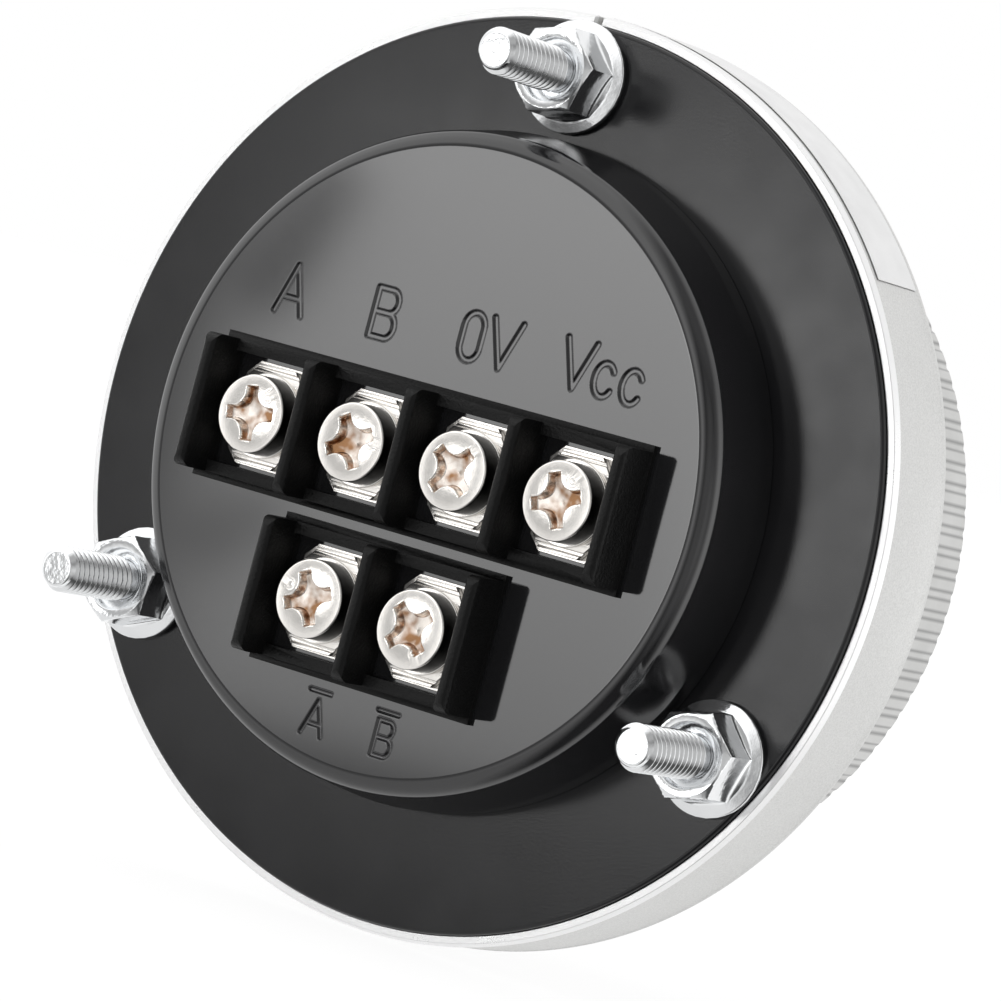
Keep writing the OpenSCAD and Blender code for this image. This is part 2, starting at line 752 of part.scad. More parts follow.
module detent_bracket() color("goldenrod") from_behind()
  stack_piece(stack_r, stack_half, ring_rear, flange_front);

module detent_magnet() color([0.3, 0.3, 0.32]) from_behind()
  stack_piece(stack_r, stack_half - 1, pole_front_z + pole_t, ring_rear - pole_t);

module pole_shoe(z0) difference() {
  translate([0, 0, z0]) linear_extrude(pole_t) polygon(concat(
    tooth_points(pole_teeth, pole_pitch, detent_angle - pole_pitch * (pole_teeth / 2 - 0.18),
      pole_r, pole_r - tooth_depth),
    [for (s = [1, -1]) pole_in_r * [cos(detent_angle + stack_half * s), sin(detent_angle + stack_half * s)]]
  ));
  stack_holes(z0, z0 + pole_t);
}

module detent_pole_shoes() color("slategray") from_behind() {
  pole_shoe(ring_rear - pole_t);
  pole_shoe(pole_front_z);
}

module detent_screws() color("darkgoldenrod") from_behind()
  for (a = detent_screw_angles) at_angle(detent_screw_circle_r, a) translate([0, 0, pole_front_z])
    mirror([0, 0, 1]) pan_screw(2 * board_screw_r, ring_l + 3 + web_t - 0.3, 4.4, 1.5);

// steel ring inside the wheel, with one inward tooth for every click
module detent_ring() color("slategray") from_behind() difference() {
  bar(ring_r - fit_gap, pole_front_z, ring_rear);
  translate([0, 0, pole_front_z - cut]) linear_extrude(ring_l + 2 * cut)
    polygon(tooth_points(tooth_n, 360 / tooth_n, 0, ring_tip_r + tooth_depth, ring_tip_r));
}

// ---------------------------------------------------------------- handwheel

module wheel_section() polygon([
  [shaft_r + fit_gap, well_floor], [well_r, well_floor], [well_r, dial_floor],
  [dial_r + 0.1, dial_floor], [dial_r + 0.1, wheel_front], [wheel_r - 1, wheel_front],
  [wheel_r, wheel_front + 1], [wheel_r, wheel_rear - 0.6], [wheel_r - 0.6, wheel_rear],
  [rim_in_r, wheel_rear], [rim_in_r, face_rear + 1], [rim_in_r - 1, face_rear],
  [hub_r, face_rear], [hub_r, collar_front], [shaft_r + fit_gap, collar_front]
]);

// round grip flutes cut along the rim
module flutes() {
  flute_r = 0.45;
  for (i = [0 : flute_n - 1]) at_angle(wheel_r + flute_r - flute_depth, i * 360 / flute_n)
    bar(flute_r, wheel_front - cut, wheel_rear + cut);
}

module handwheel() color("silver") from_behind() difference() {
  union() {
    rotate_extrude() wheel_section();
    at_angle(crank_r, crank_angle) bar(crank_boss_r, face_rear - 0.1, crank_boss_rear);
  }
  at_angle(crank_r, crank_angle) {
    bar(crank_thread_r + thread_gap, wheel_front - cut, crank_boss_rear + cut);
    bar(pin_collar_r + 0.1, wheel_front - cut, dial_floor);
  }
  flutes();
}

crank_angle = 140;

module dial_plate() color([0.1, 0.1, 0.1]) from_behind() difference() {
  ring(dial_r, cap_r + 0.1, wheel_front, dial_floor);
  at_angle(crank_r, crank_angle) bar(pin_collar_r + 0.1, wheel_front - cut, dial_floor + cut);
}

module hub_cap() color("black") from_behind() {
  crown = 1.2;
  dome_r = (cap_r * cap_r + crown * crown) / (2 * crown);
  edge = wheel_front - 0.4;
  rotate_extrude() {
    translate([0, edge]) square([cap_r, dial_floor - edge]);
    intersection() {
      translate([0, edge - crown + dome_r]) circle(r = dome_r, $fn = 720);
      translate([0, edge - crown]) square([cap_r, crown]);
    }
  }
  ring(well_r - fit_gap, well_r - 0.8, dial_floor - 0.1, dial_floor + 1.4);
}

module wheel_washer() color("gray") from_behind()
  ring(5.8, shaft_thread_r + 0.1, well_floor - washer_t, well_floor);

module wheel_nut() color("gray") from_behind() difference() {
  hex_bar(10, well_floor - washer_t - wheel_nut_t, well_floor - washer_t);
  bar(shaft_thread_r + thread_gap, shaft_front - cut, well_floor);
}

// ---------------------------------------------------------------- shaft and code disc

module shaft() color("lightgray") from_behind() {
  clip_z = rear_bearing_z + bearing_w;
  rotate_extrude() polygon([
    [0, shaft_front], [shaft_thread_r, shaft_front], [shaft_thread_r, well_floor + 0.2],
    [shaft_r - 0.3, well_floor + 0.2], [shaft_r, well_floor + 0.5], [shaft_r, collar_front], [collar_r, collar_front],
    [collar_r, front_bearing_z], [shaft_r, front_bearing_z], [shaft_r, clip_z],
    [shaft_r - 0.4, clip_z], [shaft_r - 0.4, clip_z + shaft_clip_t], [shaft_r, clip_z + shaft_clip_t],
    [shaft_r, boss_rear - 0.2], [shaft_rear_r, boss_rear - 0.2], [shaft_rear_r, shaft_rear - 0.3],
    [shaft_rear_r - 0.3, shaft_rear], [0, shaft_rear]
  ]);
}

module disc_hub() color("goldenrod") from_behind() rotate_extrude() polygon([
  [shaft_rear_r + fit_gap, boss_rear - 0.2], [6, boss_rear - 0.2], [6, disc_z - 0.6],
  [hub_shoulder_r, disc_z - 0.6], [hub_shoulder_r, disc_z], [disc_seat_r, disc_z],
  [disc_seat_r, shaft_rear - 0.2], [shaft_rear_r + fit_gap, shaft_rear - 0.2]
]);

module code_disc() color("gray") from_behind() difference() {
  ring(disc_r, disc_seat_r + fit_gap, disc_z, disc_z + disc_t);
  for (i = [0 : slot_n - 1]) at_angle(disc_r - 2.6, i * 360 / slot_n)
    translate([0, -0.25, disc_z - cut]) cube([1.8, 0.5, disc_t + 2 * cut]);
}

module disc_clamp_ring() color("goldenrod") from_behind()
  ring(hub_shoulder_r, disc_seat_r + fit_gap, disc_z + disc_t, disc_z + disc_t + 0.8);

// ---------------------------------------------------------------- crank

// local frame of the crank: its axis is z
module at_crank() {
  from_behind() at_angle(crank_r, crank_angle) children();
}

module crank_pin() color("lightgray") at_crank() difference() {
  rotate_extrude() polygon([
    [0, pin_front], [pin_r - 0.3, pin_front], [pin_r, pin_front + 0.3], [pin_r, pin_collar_front],
    [pin_collar_r, pin_collar_front], [pin_collar_r, dial_floor], [crank_thread_r, dial_floor],
    [crank_thread_r, crank_boss_rear - 0.3], [crank_thread_r - 0.3, crank_boss_rear], [0, crank_boss_rear]
  ]);
  bar(1.5 + thread_gap, pin_front - cut, pin_front + 6);
}

// screw and washer that keep the knob on its pin
module knob_retainer() color("gray") at_crank() difference() {
  rotate_extrude() polygon([
    [0, pin_front + 5.5], [1.5, pin_front + 5.5], [1.5, pin_front], [retainer_r, pin_front],
    [retainer_r, pin_front - 0.8], [2.8, pin_front - 0.8], [2.8, pin_front - 2.2], [2.4, pin_front - 2.6],
    [0, pin_front - 2.6]
  ]);
  translate([0, 0, pin_front - 2.6]) mirror([0, 0, 1]) cross_recess(3.4, 1.5);
}

// half outline of the knob: a waist near the wheel that swells to a rounded head
module knob_section() {
  waist_r = knob_d / 2 - 2;
  head_r = knob_d / 2;
  head_z = knob_front + 0.42 * knob_l;
  difference() {
    union() {
      translate([0, knob_front]) polygon([
        [0, 0], [head_r - 2, 0], [head_r, 2], [head_r, head_z - knob_front],
        [waist_r, knob_l - 4], [waist_r, knob_l - 1], [waist_r - 0.6, knob_l], [0, knob_l]
      ]);
      translate([head_r - 2, knob_front + 2]) circle(r = 2);
    }
    translate([-20, knob_front - 20]) square([20, 2 * knob_l + 40]);
  }
}

module crank_knob() color([0.08, 0.08, 0.08]) at_crank() difference() {
  rotate_extrude() knob_section();
  bar(pin_r + run_gap + bush_t + fit_gap, knob_well_floor - cut, knob_rear + cut);
  bar(knob_well_r, knob_front - cut, knob_well_floor);
  bar(knob_well_r + 0.6, knob_front - cut, knob_front + 1.6);
}

module knob_bush() color("peru") at_crank()
  ring(pin_r + run_gap + bush_t, pin_r + run_gap, knob_rear - bush_l, knob_rear);

module knob_cap() color([0.15, 0.15, 0.15]) at_crank() {
  bar(knob_well_r + 0.55, knob_front + 0.1, knob_front + 1.6);
  ring(knob_well_r - fit_gap, knob_well_r - 0.7, knob_front + 1.5, knob_front + 2.6);
}

// ---------------------------------------------------------------- nodes

flange_ring();
felt_seal();
gasket();
rear_cover();
cover_screws();
studs();
flange_nuts();
upper_terminal_block();
lower_terminal_block();
upper_terminal_plates();
lower_terminal_plates();
upper_clamp_washers();
lower_clamp_washers();
upper_head_washers();
lower_head_washers();
upper_terminal_screws();
lower_terminal_screws();
circuit_board();
board_standoffs();
board_screws();
photo_sensor();
line_driver_chip();
board_capacitors();
front_bearing_outer();
rear_bearing_outer();
outer_race_spacer();
bearing_circlip();
detent_bracket();
detent_magnet();
detent_pole_shoes();
detent_screws();
side_label();
index_mark();
handwheel();
dial_plate();
hub_cap();
wheel_nut();
wheel_washer();
shaft();
front_bearing_inner();
rear_bearing_inner();
inner_race_spacer();
shaft_circlip();
detent_ring();
disc_hub();
code_disc();
disc_clamp_ring();
crank_pin();
knob_retainer();
crank_knob();
knob_bush();
knob_cap();
front_bearing_balls();
front_bearing_cage();
rear_bearing_balls();
rear_bearing_cage();
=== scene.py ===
# %% [markdown]
# # A pulse generator handwheel, seen from behind
#
# A machine operator turns this knurled wheel by hand, and a slotted disc inside counts the turns.
# The CAD model already holds every piece at its real size and place. This lesson loads it as a
# fixed frame and gives each visible piece the surface that the real one has: moulded letters,
# screw threads, knurling, plating and blasted metal.

import json

import bmesh

import bpy
import numpy as np
from mathutils import Matrix, Vector


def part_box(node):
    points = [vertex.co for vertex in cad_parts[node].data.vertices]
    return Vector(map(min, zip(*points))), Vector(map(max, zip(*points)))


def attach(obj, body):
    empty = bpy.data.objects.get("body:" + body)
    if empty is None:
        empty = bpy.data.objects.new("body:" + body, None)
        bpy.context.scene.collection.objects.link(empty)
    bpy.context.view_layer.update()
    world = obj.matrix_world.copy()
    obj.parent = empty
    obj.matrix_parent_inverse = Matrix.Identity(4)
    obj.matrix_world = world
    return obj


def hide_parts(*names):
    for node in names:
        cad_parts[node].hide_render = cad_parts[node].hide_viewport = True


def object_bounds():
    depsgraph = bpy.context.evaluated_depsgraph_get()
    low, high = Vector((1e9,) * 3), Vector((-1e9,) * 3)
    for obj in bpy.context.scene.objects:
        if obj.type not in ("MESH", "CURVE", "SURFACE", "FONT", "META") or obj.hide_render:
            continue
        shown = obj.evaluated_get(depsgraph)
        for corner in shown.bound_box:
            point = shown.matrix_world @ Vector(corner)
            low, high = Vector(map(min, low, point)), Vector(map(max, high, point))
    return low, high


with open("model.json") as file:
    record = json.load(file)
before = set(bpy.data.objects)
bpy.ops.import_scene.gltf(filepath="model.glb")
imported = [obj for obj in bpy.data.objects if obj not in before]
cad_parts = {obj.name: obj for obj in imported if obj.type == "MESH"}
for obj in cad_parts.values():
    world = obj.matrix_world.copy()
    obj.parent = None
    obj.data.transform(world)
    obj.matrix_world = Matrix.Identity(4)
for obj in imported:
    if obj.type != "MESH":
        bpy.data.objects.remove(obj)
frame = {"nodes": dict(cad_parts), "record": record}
cad_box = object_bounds()
nodes = frame["nodes"]
body_of = {n: b for b, names in frame["record"]["behaviour"]["bodies"].items() for n in names}
slot_of = {s["node"]: s["material_slot"] for s in frame["record"]["subparts"]}

# %% [markdown]
# ## Working as seen from behind
#
# The wheel's axis is the model's Y axis and the terminals face +Y. Most of the work is on the
# terminal side, so points are written as they are seen from there, in millimetres: u to the
# right, v up and w towards the viewer, with w = 0 where the gasket meets the panel. One small
# function turns them into the frame's metres, and another reads a CAD piece's extent the same way.

# %% From the bench to the frame
MM = 0.001
FULL_TURN = 2 * np.pi
TERMINAL_PITCH, ROW_DROP = 10.5, 13.5


def to_frame(points):
    """(u, v, w) in mm becomes X = -u, Y = w, Z = v, in metres."""
    p = np.asarray(points, float)
    return np.stack([-p[..., 0], p[..., 2], p[..., 1]], -1) * MM


def extent(node):
    """Lowest and highest u, v and w of a CAD node, in mm."""
    low, high = (np.array(c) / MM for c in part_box(node))
    return (-high[0], low[2], low[1]), (-low[0], high[2], high[1])


flange_low, flange_high = extent("flange_ring")
cover_low, cover_high = extent("rear_cover")
wheel_low, wheel_high = extent("handwheel")
FLANGE_R, COVER_R, WHEEL_R = flange_high[0], cover_high[0], wheel_high[0]
COVER_TOP = cover_high[2]
print(f"radii: flange {FLANGE_R:.2f}, cover {COVER_R:.2f}, wheel {WHEEL_R:.2f} mm")

# %% [markdown]
# ## The camera
#
# A long lens looks at the terminals from their left, rolled by about 15 degrees. The camera comes
# first, because every later choice is judged through it.

# %% Camera
LENS_MM, SENSOR_MM = 197.7806, 36.0
EYE = Vector((-0.2499, 0.3912, 0.0122))
camera_data = bpy.data.cameras.new("camera")
camera_data.lens, camera_data.sensor_width = LENS_MM, SENSOR_MM
camera_data.clip_start, camera_data.clip_end = 0.01, 20.0
camera = bpy.data.objects.new("camera", camera_data)
bpy.context.scene.collection.objects.link(camera)
right = Vector((-0.8135, -0.5217, 0.2572)).normalized()
forward = Vector((0.5330, -0.8456, -0.0300))
forward = (forward - forward.dot(right) * right).normalized()
up = right.cross(forward)
turned_to = Matrix((right, up, -forward)).transposed().to_4x4()
camera.matrix_world = Matrix.Translation(EYE) @ turned_to
bpy.context.scene.camera = camera
print(f"lens {camera_data.lens:.1f} mm")

# %% [markdown]
# ## An empty world
#
# The handwheel stands in a white studio. The world is made here, and its light is set near the
# end, when the helpers for shader nodes exist.

# %% World
world = bpy.data.worlds.new("studio")
bpy.context.scene.world = world
world.use_nodes = True
bpy.context.scene.view_settings.view_transform = "Standard"
print("world:", world.name)


# %% [markdown]
# ## Shader maths as Python
#
# A finish is a Principled shader plus a few nodes that vary its colour, roughness or bump. One
# class wraps a node's output so that `1 - mask * 0.5` adds the Math nodes it needs, and another
# starts a material and adds any other node.

# %% Wires and finishes
class Wire:
    """An output socket. Arithmetic on it adds a Math node and gives that node's output."""

    def __init__(self, tree, socket):
        self.tree, self.socket = tree, socket

    def math(self, operation, *others, first=None, clamp=False):
        """One Math node, with this wire as its first term unless another is given."""
        node = self.tree.nodes.new("ShaderNodeMath")
        node.operation, node.use_clamp = operation, clamp
        terms = [self, *others] if first is None else [first, self]
        for slot, term in zip(node.inputs, terms):
            plug(self.tree, slot, term)
        return Wire(self.tree, node.outputs[0])

    def __add__(self, other):
        return self.math("ADD", other)

    def __sub__(self, other):
        return self.math("SUBTRACT", other)

    def __rsub__(self, other):
        return self.math("SUBTRACT", first=other)

    def __mul__(self, other):
        return self.math("MULTIPLY", other)

    def __truediv__(self, other):
        return self.math("DIVIDE", other)

    def __pow__(self, other):
        return self.math("POWER", other)

    __radd__, __rmul__ = __add__, __mul__

    def step(self, low, high):
        """0 below low, 1 above high, and smooth between."""
        return self.math("SUBTRACT", low).math("MULTIPLY", 1 / (high - low), clamp=True)


def plug(tree, slot, value):
    """Puts a wire or a plain value into an input."""
    if isinstance(value, Wire):
        tree.links.new(value.socket, slot)
    else:
        slot.default_value = value


class Finish:
    """A material: its Principled shader, its Object coordinates and a way to add nodes."""

    def __init__(self, name, color, metallic=0.0, roughness=0.5, **constants):
        self.material = bpy.data.materials.new(name)
        self.material.use_nodes = True
        self.tree = self.material.node_tree
        self.shader = self.tree.nodes["Principled BSDF"]
        self.set("Base Color", (*color, 1.0))
        self.set("Metallic", metallic)
        self.set("Roughness", roughness)
        for key, value in constants.items():
            self.set(key.replace("_", " "), value)
        self.point = self.add("ShaderNodeTexCoord", "Object")

    def set(self, name, value):
        plug(self.tree, self.shader.inputs[name], value)

    def add(self, kind, output, settings=None, **inputs):
        """Adds a node: its settings first, then its inputs by name, with _ for a space."""
        node = self.tree.nodes.new(kind)
        for key, value in (settings or {}).items():
            setattr(node, key, value)
        for key, value in inputs.items():
            plug(self.tree, node.inputs[key.replace("_", " ")], value)
        return Wire(self.tree, node.outputs[output])

    def noise(self, size_mm, detail=2.0, roughness=0.5):
        """Noise whose features are about size_mm across."""
        return self.add("ShaderNodeTexNoise", "Fac", Vector=self.point,
                        Scale=1.0 / (size_mm * MM), Detail=detail, Roughness=roughness)

    def axis(self, letter):
        """One Object coordinate, in mm."""
        return self.add("ShaderNodeSeparateXYZ", letter, Vector=self.point) * (1 / MM)

    def radius(self):
        """Distance from the wheel's axis, in mm."""
        across, along = self.axis("X"), self.axis("Z")
        return (across * across + along * along) ** 0.5

    def blend(self, mask, a, b):
        """Colour a where mask is 0 and b where it is 1."""
        node = self.tree.nodes.new("ShaderNodeMix")
        node.data_type = "RGBA"
        for slot, value in zip((node.inputs[0], node.inputs[6], node.inputs[7]), (mask, a, b)):
            plug(self.tree, slot, value if isinstance(value, (Wire, float)) else (*value, 1.0))
        return Wire(self.tree, node.outputs[2])

    def bump(self, height, depth_mm):
        """Raises the surface by up to depth_mm where height is 1."""
        self.set("Normal", self.add("ShaderNodeBump", "Normal", Strength=1.0,
                                    Distance=depth_mm * MM, Height=height))


print("shader helpers ready")

# %% [markdown]
# ## Finishes
#
# The real handwheel mixes die-cast and turned aluminium, nickel and zinc plating, glossy and
# matt black plastics and a black rubber seal. Each finish gets the fine variation that the real
# surface has, at its real scale, because a single flat colour looks like a toy under soft light.
# The inner pieces get theirs too, for anyone who takes the cover off.

# %% Metals
NICKEL = (0.93, 0.90, 0.86)
FLUTES, LIP_START = 110, -1.15


def plated(name, color, roughness, grain_mm=0.35, depth_mm=0.004, metallic=1.0):
    """Plating: faint cloudy changes of tone and gloss over a slightly wavy surface."""
    f = Finish(name, color, metallic=metallic, roughness=roughness)
    cloud = f.noise(4.0, detail=3.0)
    grain = f.noise(grain_mm, detail=3.0)
    f.set("Roughness", grain * (roughness * 0.5) + (roughness * 0.75))
    f.set("Base Color", f.blend(cloud.step(0.3, 0.7), color, tuple(0.9 * c for c in color)))
    f.bump(grain, depth_mm)
    return f.material


def turned(name, color, roughness, ring_mm=0.12):
    """Turned metal: rings round the wheel's axis from the lathe tool, over fine grain."""
    f = Finish(name, color, metallic=1.0, roughness=roughness)
    rings = (f.radius() * (FULL_TURN / ring_mm)).math("SINE")
    grain = f.noise(0.25, detail=3.0)
    f.set("Roughness", grain * 0.16 + roughness)
    f.bump(rings * 0.3 + grain, 0.004)
    return f.material


def cast_flange_finish():
    """Blasted, clear-anodised aluminium with a fine even grain; its rear lip is turned bright."""
    f = Finish("cast_flange", (0.80, 0.80, 0.79), metallic=0.75, roughness=0.42)
    grain = f.noise(0.16, detail=4.0, roughness=0.7)
    cloud = f.noise(5.0, detail=3.0)
    lip = f.axis("Y").step(LIP_START - 0.01, LIP_START + 0.05)
    blasted = f.blend(grain.step(0.35, 0.7), (0.79, 0.79, 0.78), (0.64, 0.64, 0.63))
    f.set("Base Color", f.blend(lip, blasted, (0.95, 0.95, 0.95)))
    f.set("Roughness", cloud * 0.15 + grain * 0.15 + 0.28 - lip * 0.12)
    f.bump(grain * (1 - lip * 0.6), 0.02)
    return f.material


def screw_finish():
    """Nickel plate, with painted brownish reflection and shade in the cross recesses; the sides of
    the heads get painted shade.

    The screws stand on a regular grid, so the fractions of its pitches give the distance from
    the nearest one's axis.
    """
    f = Finish("screw_nickel", NICKEL, metallic=1.0, roughness=0.16)
    grain, recess_mottle = f.noise(0.5, detail=3.0), f.noise(1.6, detail=2.0)
    across = (f.axis("X") / TERMINAL_PITCH).math("FRACT") - 0.5
    along = (f.axis("Z") / ROW_DROP + 0.5).math("FRACT") - 0.5
    reach = (across * across * TERMINAL_PITCH ** 2 + along * along * ROW_DROP ** 2) ** 0.5
    recess = (1 - reach.step(2.35, 2.6)) * (1 - f.axis("Y").step(11.0, 11.3))
    # Painted shade: the sides of the heads are drawn nearly black.
    flank_shade = reach.step(3.2, 3.3) * (1 - f.axis("Y").step(11.2, 11.35))
    # Painted reflection and shade: a mottled brown inside the cross recesses.
    recess_reflection_shade = f.blend(recess_mottle.step(0.38, 0.60), (0.34, 0.18, 0.09), (1.0, 0.93, 0.86))
    shell = f.blend(flank_shade, NICKEL, (0.015, 0.015, 0.015))
    f.set("Base Color", f.blend(recess, shell, recess_reflection_shade))
    f.set("Roughness", grain * 0.08 + recess * 0.06 + flank_shade * 0.25 + 0.13)
    f.bump(grain, 0.008)
    return f.material


def wheel_finish():
    """Satin turned aluminium; a soft line of painted shade runs along both walls of each flute."""
    f = Finish("wheel_metal", (0.72, 0.72, 0.71), metallic=1.0, roughness=0.34)
    grain, cloud = f.noise(0.2, detail=3.0), f.noise(4.0, detail=3.0)
    angle = f.axis("Z").math("ARCTAN2", f.axis("X") * -1.0)
    across = ((angle * (FLUTES / FULL_TURN) + 0.5).math("FRACT") - 0.5).math("ABSOLUTE")
    on_rim = f.radius().step(WHEEL_R - 1.4, WHEEL_R - 0.8)
    # Painted shade: a soft dark line along both walls of each flute on the rim.
    wall = (1 - (across - 0.2).math("ABSOLUTE").step(0.0, 0.13)) * on_rim
    satin = f.blend(cloud.step(0.3, 0.7), (0.66, 0.66, 0.65), (0.59, 0.59, 0.58))
    f.set("Base Color", f.blend(wall * 0.75, satin, (0.22, 0.22, 0.22)))
    f.set("Roughness", grain * 0.17 + 0.26)
    f.bump(grain, 0.01)
    return f.material


FINISHES = {
    "cast_flange": cast_flange_finish(),
    "screw_nickel": screw_finish(),
    "wheel_metal": wheel_finish(),
    "nickel": plated("nickel", NICKEL, 0.24, grain_mm=0.5, depth_mm=0.008),
    "zinc": plated("zinc", (0.93, 0.94, 0.95), 0.12, grain_mm=0.7, depth_mm=0.02),
    "foil": plated("foil", (0.90, 0.90, 0.90), 0.36, grain_mm=0.12, depth_mm=0.004, metallic=0.7),
    "steel": plated("steel", (0.62, 0.62, 0.63), 0.28),
    "bearing_steel": turned("bearing_steel", (0.72, 0.73, 0.75), 0.14),
    "soft_iron": turned("soft_iron", (0.42, 0.41, 0.40), 0.38),
    "magnet": plated("magnet", (0.50, 0.50, 0.52), 0.26),
    "brass": plated("brass", (0.80, 0.58, 0.28), 0.25),
    "bronze": turned("bronze", (0.66, 0.42, 0.24), 0.34),
}
print("metal finishes:", len(FINISHES))


# %% [markdown]
# Black plastic looks light or dark only by what it mirrors, so the glossy cover gets a very dark
# base and a clear surface, with the faint waves that a moulded face keeps. The terminal blocks
# are of the same plastic from a rougher mould, and the seal is sanded-looking black rubber.

# %% Plastics, rubber and the rest
def plastic(name, color, roughness, grain_mm, depth_mm, specular=0.5, wave=0.0, mottle=0.0,
            matt_side=0.0):
    """Moulded plastic: its grain changes colour a little, roughness and height.

    wave is a slow warp, mottle adds duller clouds, and matt_side dulls what lies below the
    cover's face.
    """
    spread = 0.3
    f = Finish(name, color, roughness=roughness, Specular_IOR_Level=specular)
    grain = f.noise(grain_mm, detail=4.0, roughness=0.6)
    cloud = f.noise(6.0, detail=2.0)
    darker, paler = (tuple(share * c for c in color) for share in (0.75, 1.25))
    f.set("Base Color", f.blend(cloud, darker, paler))
    gloss = grain * (roughness * spread) + roughness * (1 - spread / 2)
    side = 1 - f.axis("Y").step(COVER_TOP - 1.8, COVER_TOP - 0.8)
    f.set("Roughness", gloss + cloud.step(0.3, 0.7) * mottle + side * matt_side)
    f.bump(grain * (1 - wave) + f.noise(9.0, detail=1.0) * wave, depth_mm)
    return f.material


def board_finish():
    """A green circuit board: glass weave under the lacquer and paler tracks."""
    f = Finish("board_green", (0.02, 0.14, 0.06), roughness=0.35)
    tracks = f.add("ShaderNodeTexVoronoi", "Distance", settings={"feature": "DISTANCE_TO_EDGE"},
                   Vector=f.point, Scale=330.0)
    f.set("Base Color", f.blend(tracks.step(0.05, 0.09), (0.05, 0.30, 0.13), (0.02, 0.15, 0.06)))
    f.bump(tracks.step(0.03, 0.1), 0.03)
    return f.material


FINISHES.update({
    "gloss_black": plastic("gloss_black", (0.010, 0.010, 0.011), 0.075, 0.5, 0.0008,
                           specular=0.9, wave=0.8, matt_side=0.12),
    "strip_black": plastic("strip_black", (0.005, 0.005, 0.005), 0.32, 0.25, 0.08, specular=0.2),
    "knob_black": plastic("knob_black", (0.014, 0.014, 0.015), 0.24, 0.4, 0.003),
    "dial_black": plastic("dial_black", (0.013, 0.013, 0.014), 0.38, 0.2, 0.004),
    "seal_rubber": plastic("seal_rubber", (0.007, 0.007, 0.008), 0.16, 0.22, 0.005,
                           specular=0.48, mottle=0.05),
    "felt": plastic("felt", (0.10, 0.10, 0.10), 0.95, 0.12, 0.08, specular=0.1),
    "component_black": plastic("component_black", (0.016, 0.016, 0.017), 0.5, 0.15, 0.01),
    "ceramic": plastic("ceramic", (0.42, 0.32, 0.20), 0.5, 0.2, 0.008),
    "dial_white": plastic("dial_white", (0.78, 0.78, 0.76), 0.5, 0.15, 0.004),
    "board_green": board_finish(),
})
for node, obj in nodes.items():
    obj.data.materials.clear()
    obj.data.materials.append(FINISHES[slot_of[node]])
print("finishes:", len(FINISHES), "on", len(nodes), "CAD nodes")

# %% [markdown]
# ## Surfaces on grids
#
# Nearly every piece here is round, so one helper writes an outline in (r, w), with its corners
# rounded, and another carries it about an axis. Where a piece isn't quite round, as with a
# thread, a hexagon or a flute, its radius is a function of the angle and of w, worked out for
# the whole grid at once. Flat stretches get an extra point close to each rounded corner, so that
# smooth shading doesn't bend them.

# %% Outline and revolve
def outline(*corners, steps=6, edge=0.05):
    """Corners (r, w) or (r, w, radius): a rounded corner becomes an arc that touches both sides."""
    p = np.array([c[:2] for c in corners], float)
    radii = [c[2] if len(c) > 2 else 0.0 for c in corners]
    path = [p[0]]
    for before, here, after, radius in zip(p, p[1:], p[2:], radii[1:-1]):
        a, b = (before - here), (after - here)
        a, b = a / np.linalg.norm(a), b / np.linalg.norm(b)
        half = 0.5 * np.arccos(np.clip(a @ b, -1, 1))
        reach = radius / np.tan(half)
        if radius:
            middle = here + (a + b) / np.linalg.norm(a + b) * radius / np.sin(half)
            start, end = here + a * reach - middle, here + b * reach - middle
            t = np.linspace(0, 1, steps + 1)[:, None]
            turn = np.pi - 2 * half
            arc = middle + (np.sin((1 - t) * turn) * start + np.sin(t * turn) * end) / np.sin(turn)
            path += [here + a * (reach + edge), *arc, here + b * (reach + edge)]
        else:
            path.append(here)
    return np.array([*path, p[-1]])


def grid_faces(rows, columns, loop=False):
    """Quads of a grid whose columns close round; loop joins the last row to the first too."""
    r = np.arange(rows if loop else rows - 1)[:, None]
    c = np.arange(columns)[None, :]
    here, there = r * columns, (r + 1) % rows * columns
    return np.stack([here + c, here + (c + 1) % columns, there + (c + 1) % columns, there + c],
                    -1).reshape(-1, 4)


def revolve(path, columns=240, at=(0.0, 0.0), angles=None, reshape=None):
    """u = r cos a and v = r sin a about the axis at; reshape(r, w, a) gives a new r where set."""
    a = np.arange(columns) * 2 * np.pi / columns if angles is None else np.asarray(angles)
    r, w = (np.broadcast_to(path[:, k, None], (len(path), len(a))) for k in (0, 1))
    if reshape:
        r = reshape(r, w, a[None, :])
    points = np.stack([at[0] + r * np.cos(a), at[1] + r * np.sin(a), w], -1).reshape(-1, 3)
    return points, grid_faces(len(path), len(a))


corner = outline((0, 0), (1, 0, 0.2), (1, 1))
print("outline of a rounded square corner:", corner.round(2).tolist()[1:4])


# %% [markdown]
# A piece is one or more closed shells. Each shell is turned outward by the sign of its volume,
# its doubled points are merged, and edges sharper than a given angle stay crisp. The piece then
# rides on the body of the CAD node that it stands for.

# %% Making a piece
def outward(points, faces):
    """The faces, reversed if the volume that they enclose comes out negative."""
    q = points[faces] - points.mean(0)
    volume = (np.einsum("ij,ij->i", q[:, 0], np.cross(q[:, 1], q[:, 2])).sum()
              + np.einsum("ij,ij->i", q[:, 0], np.cross(q[:, 2], q[:, 3])).sum())
    return faces[:, ::-1] if volume < 0 else faces


def stand_for(obj, node, *others):
    """obj takes the place of these CAD nodes: their body, slot and finish."""
    obj.data.materials.clear()
    obj.data.materials.append(FINISHES[slot_of[node]])
    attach(obj, body_of[node])
    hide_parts(node, *others)
    return obj


def tidy_mesh(mesh, sharp):
    """Merges doubled points, shades smooth and keeps edges above sharp degrees crisp."""
    work = bmesh.new()
    work.from_mesh(mesh)
    bmesh.ops.remove_doubles(work, verts=work.verts, dist=2e-7)
    work.to_mesh(mesh)
    work.free()
    mesh.shade_smooth()
    mesh.set_sharp_from_angle(angle=np.radians(sharp))


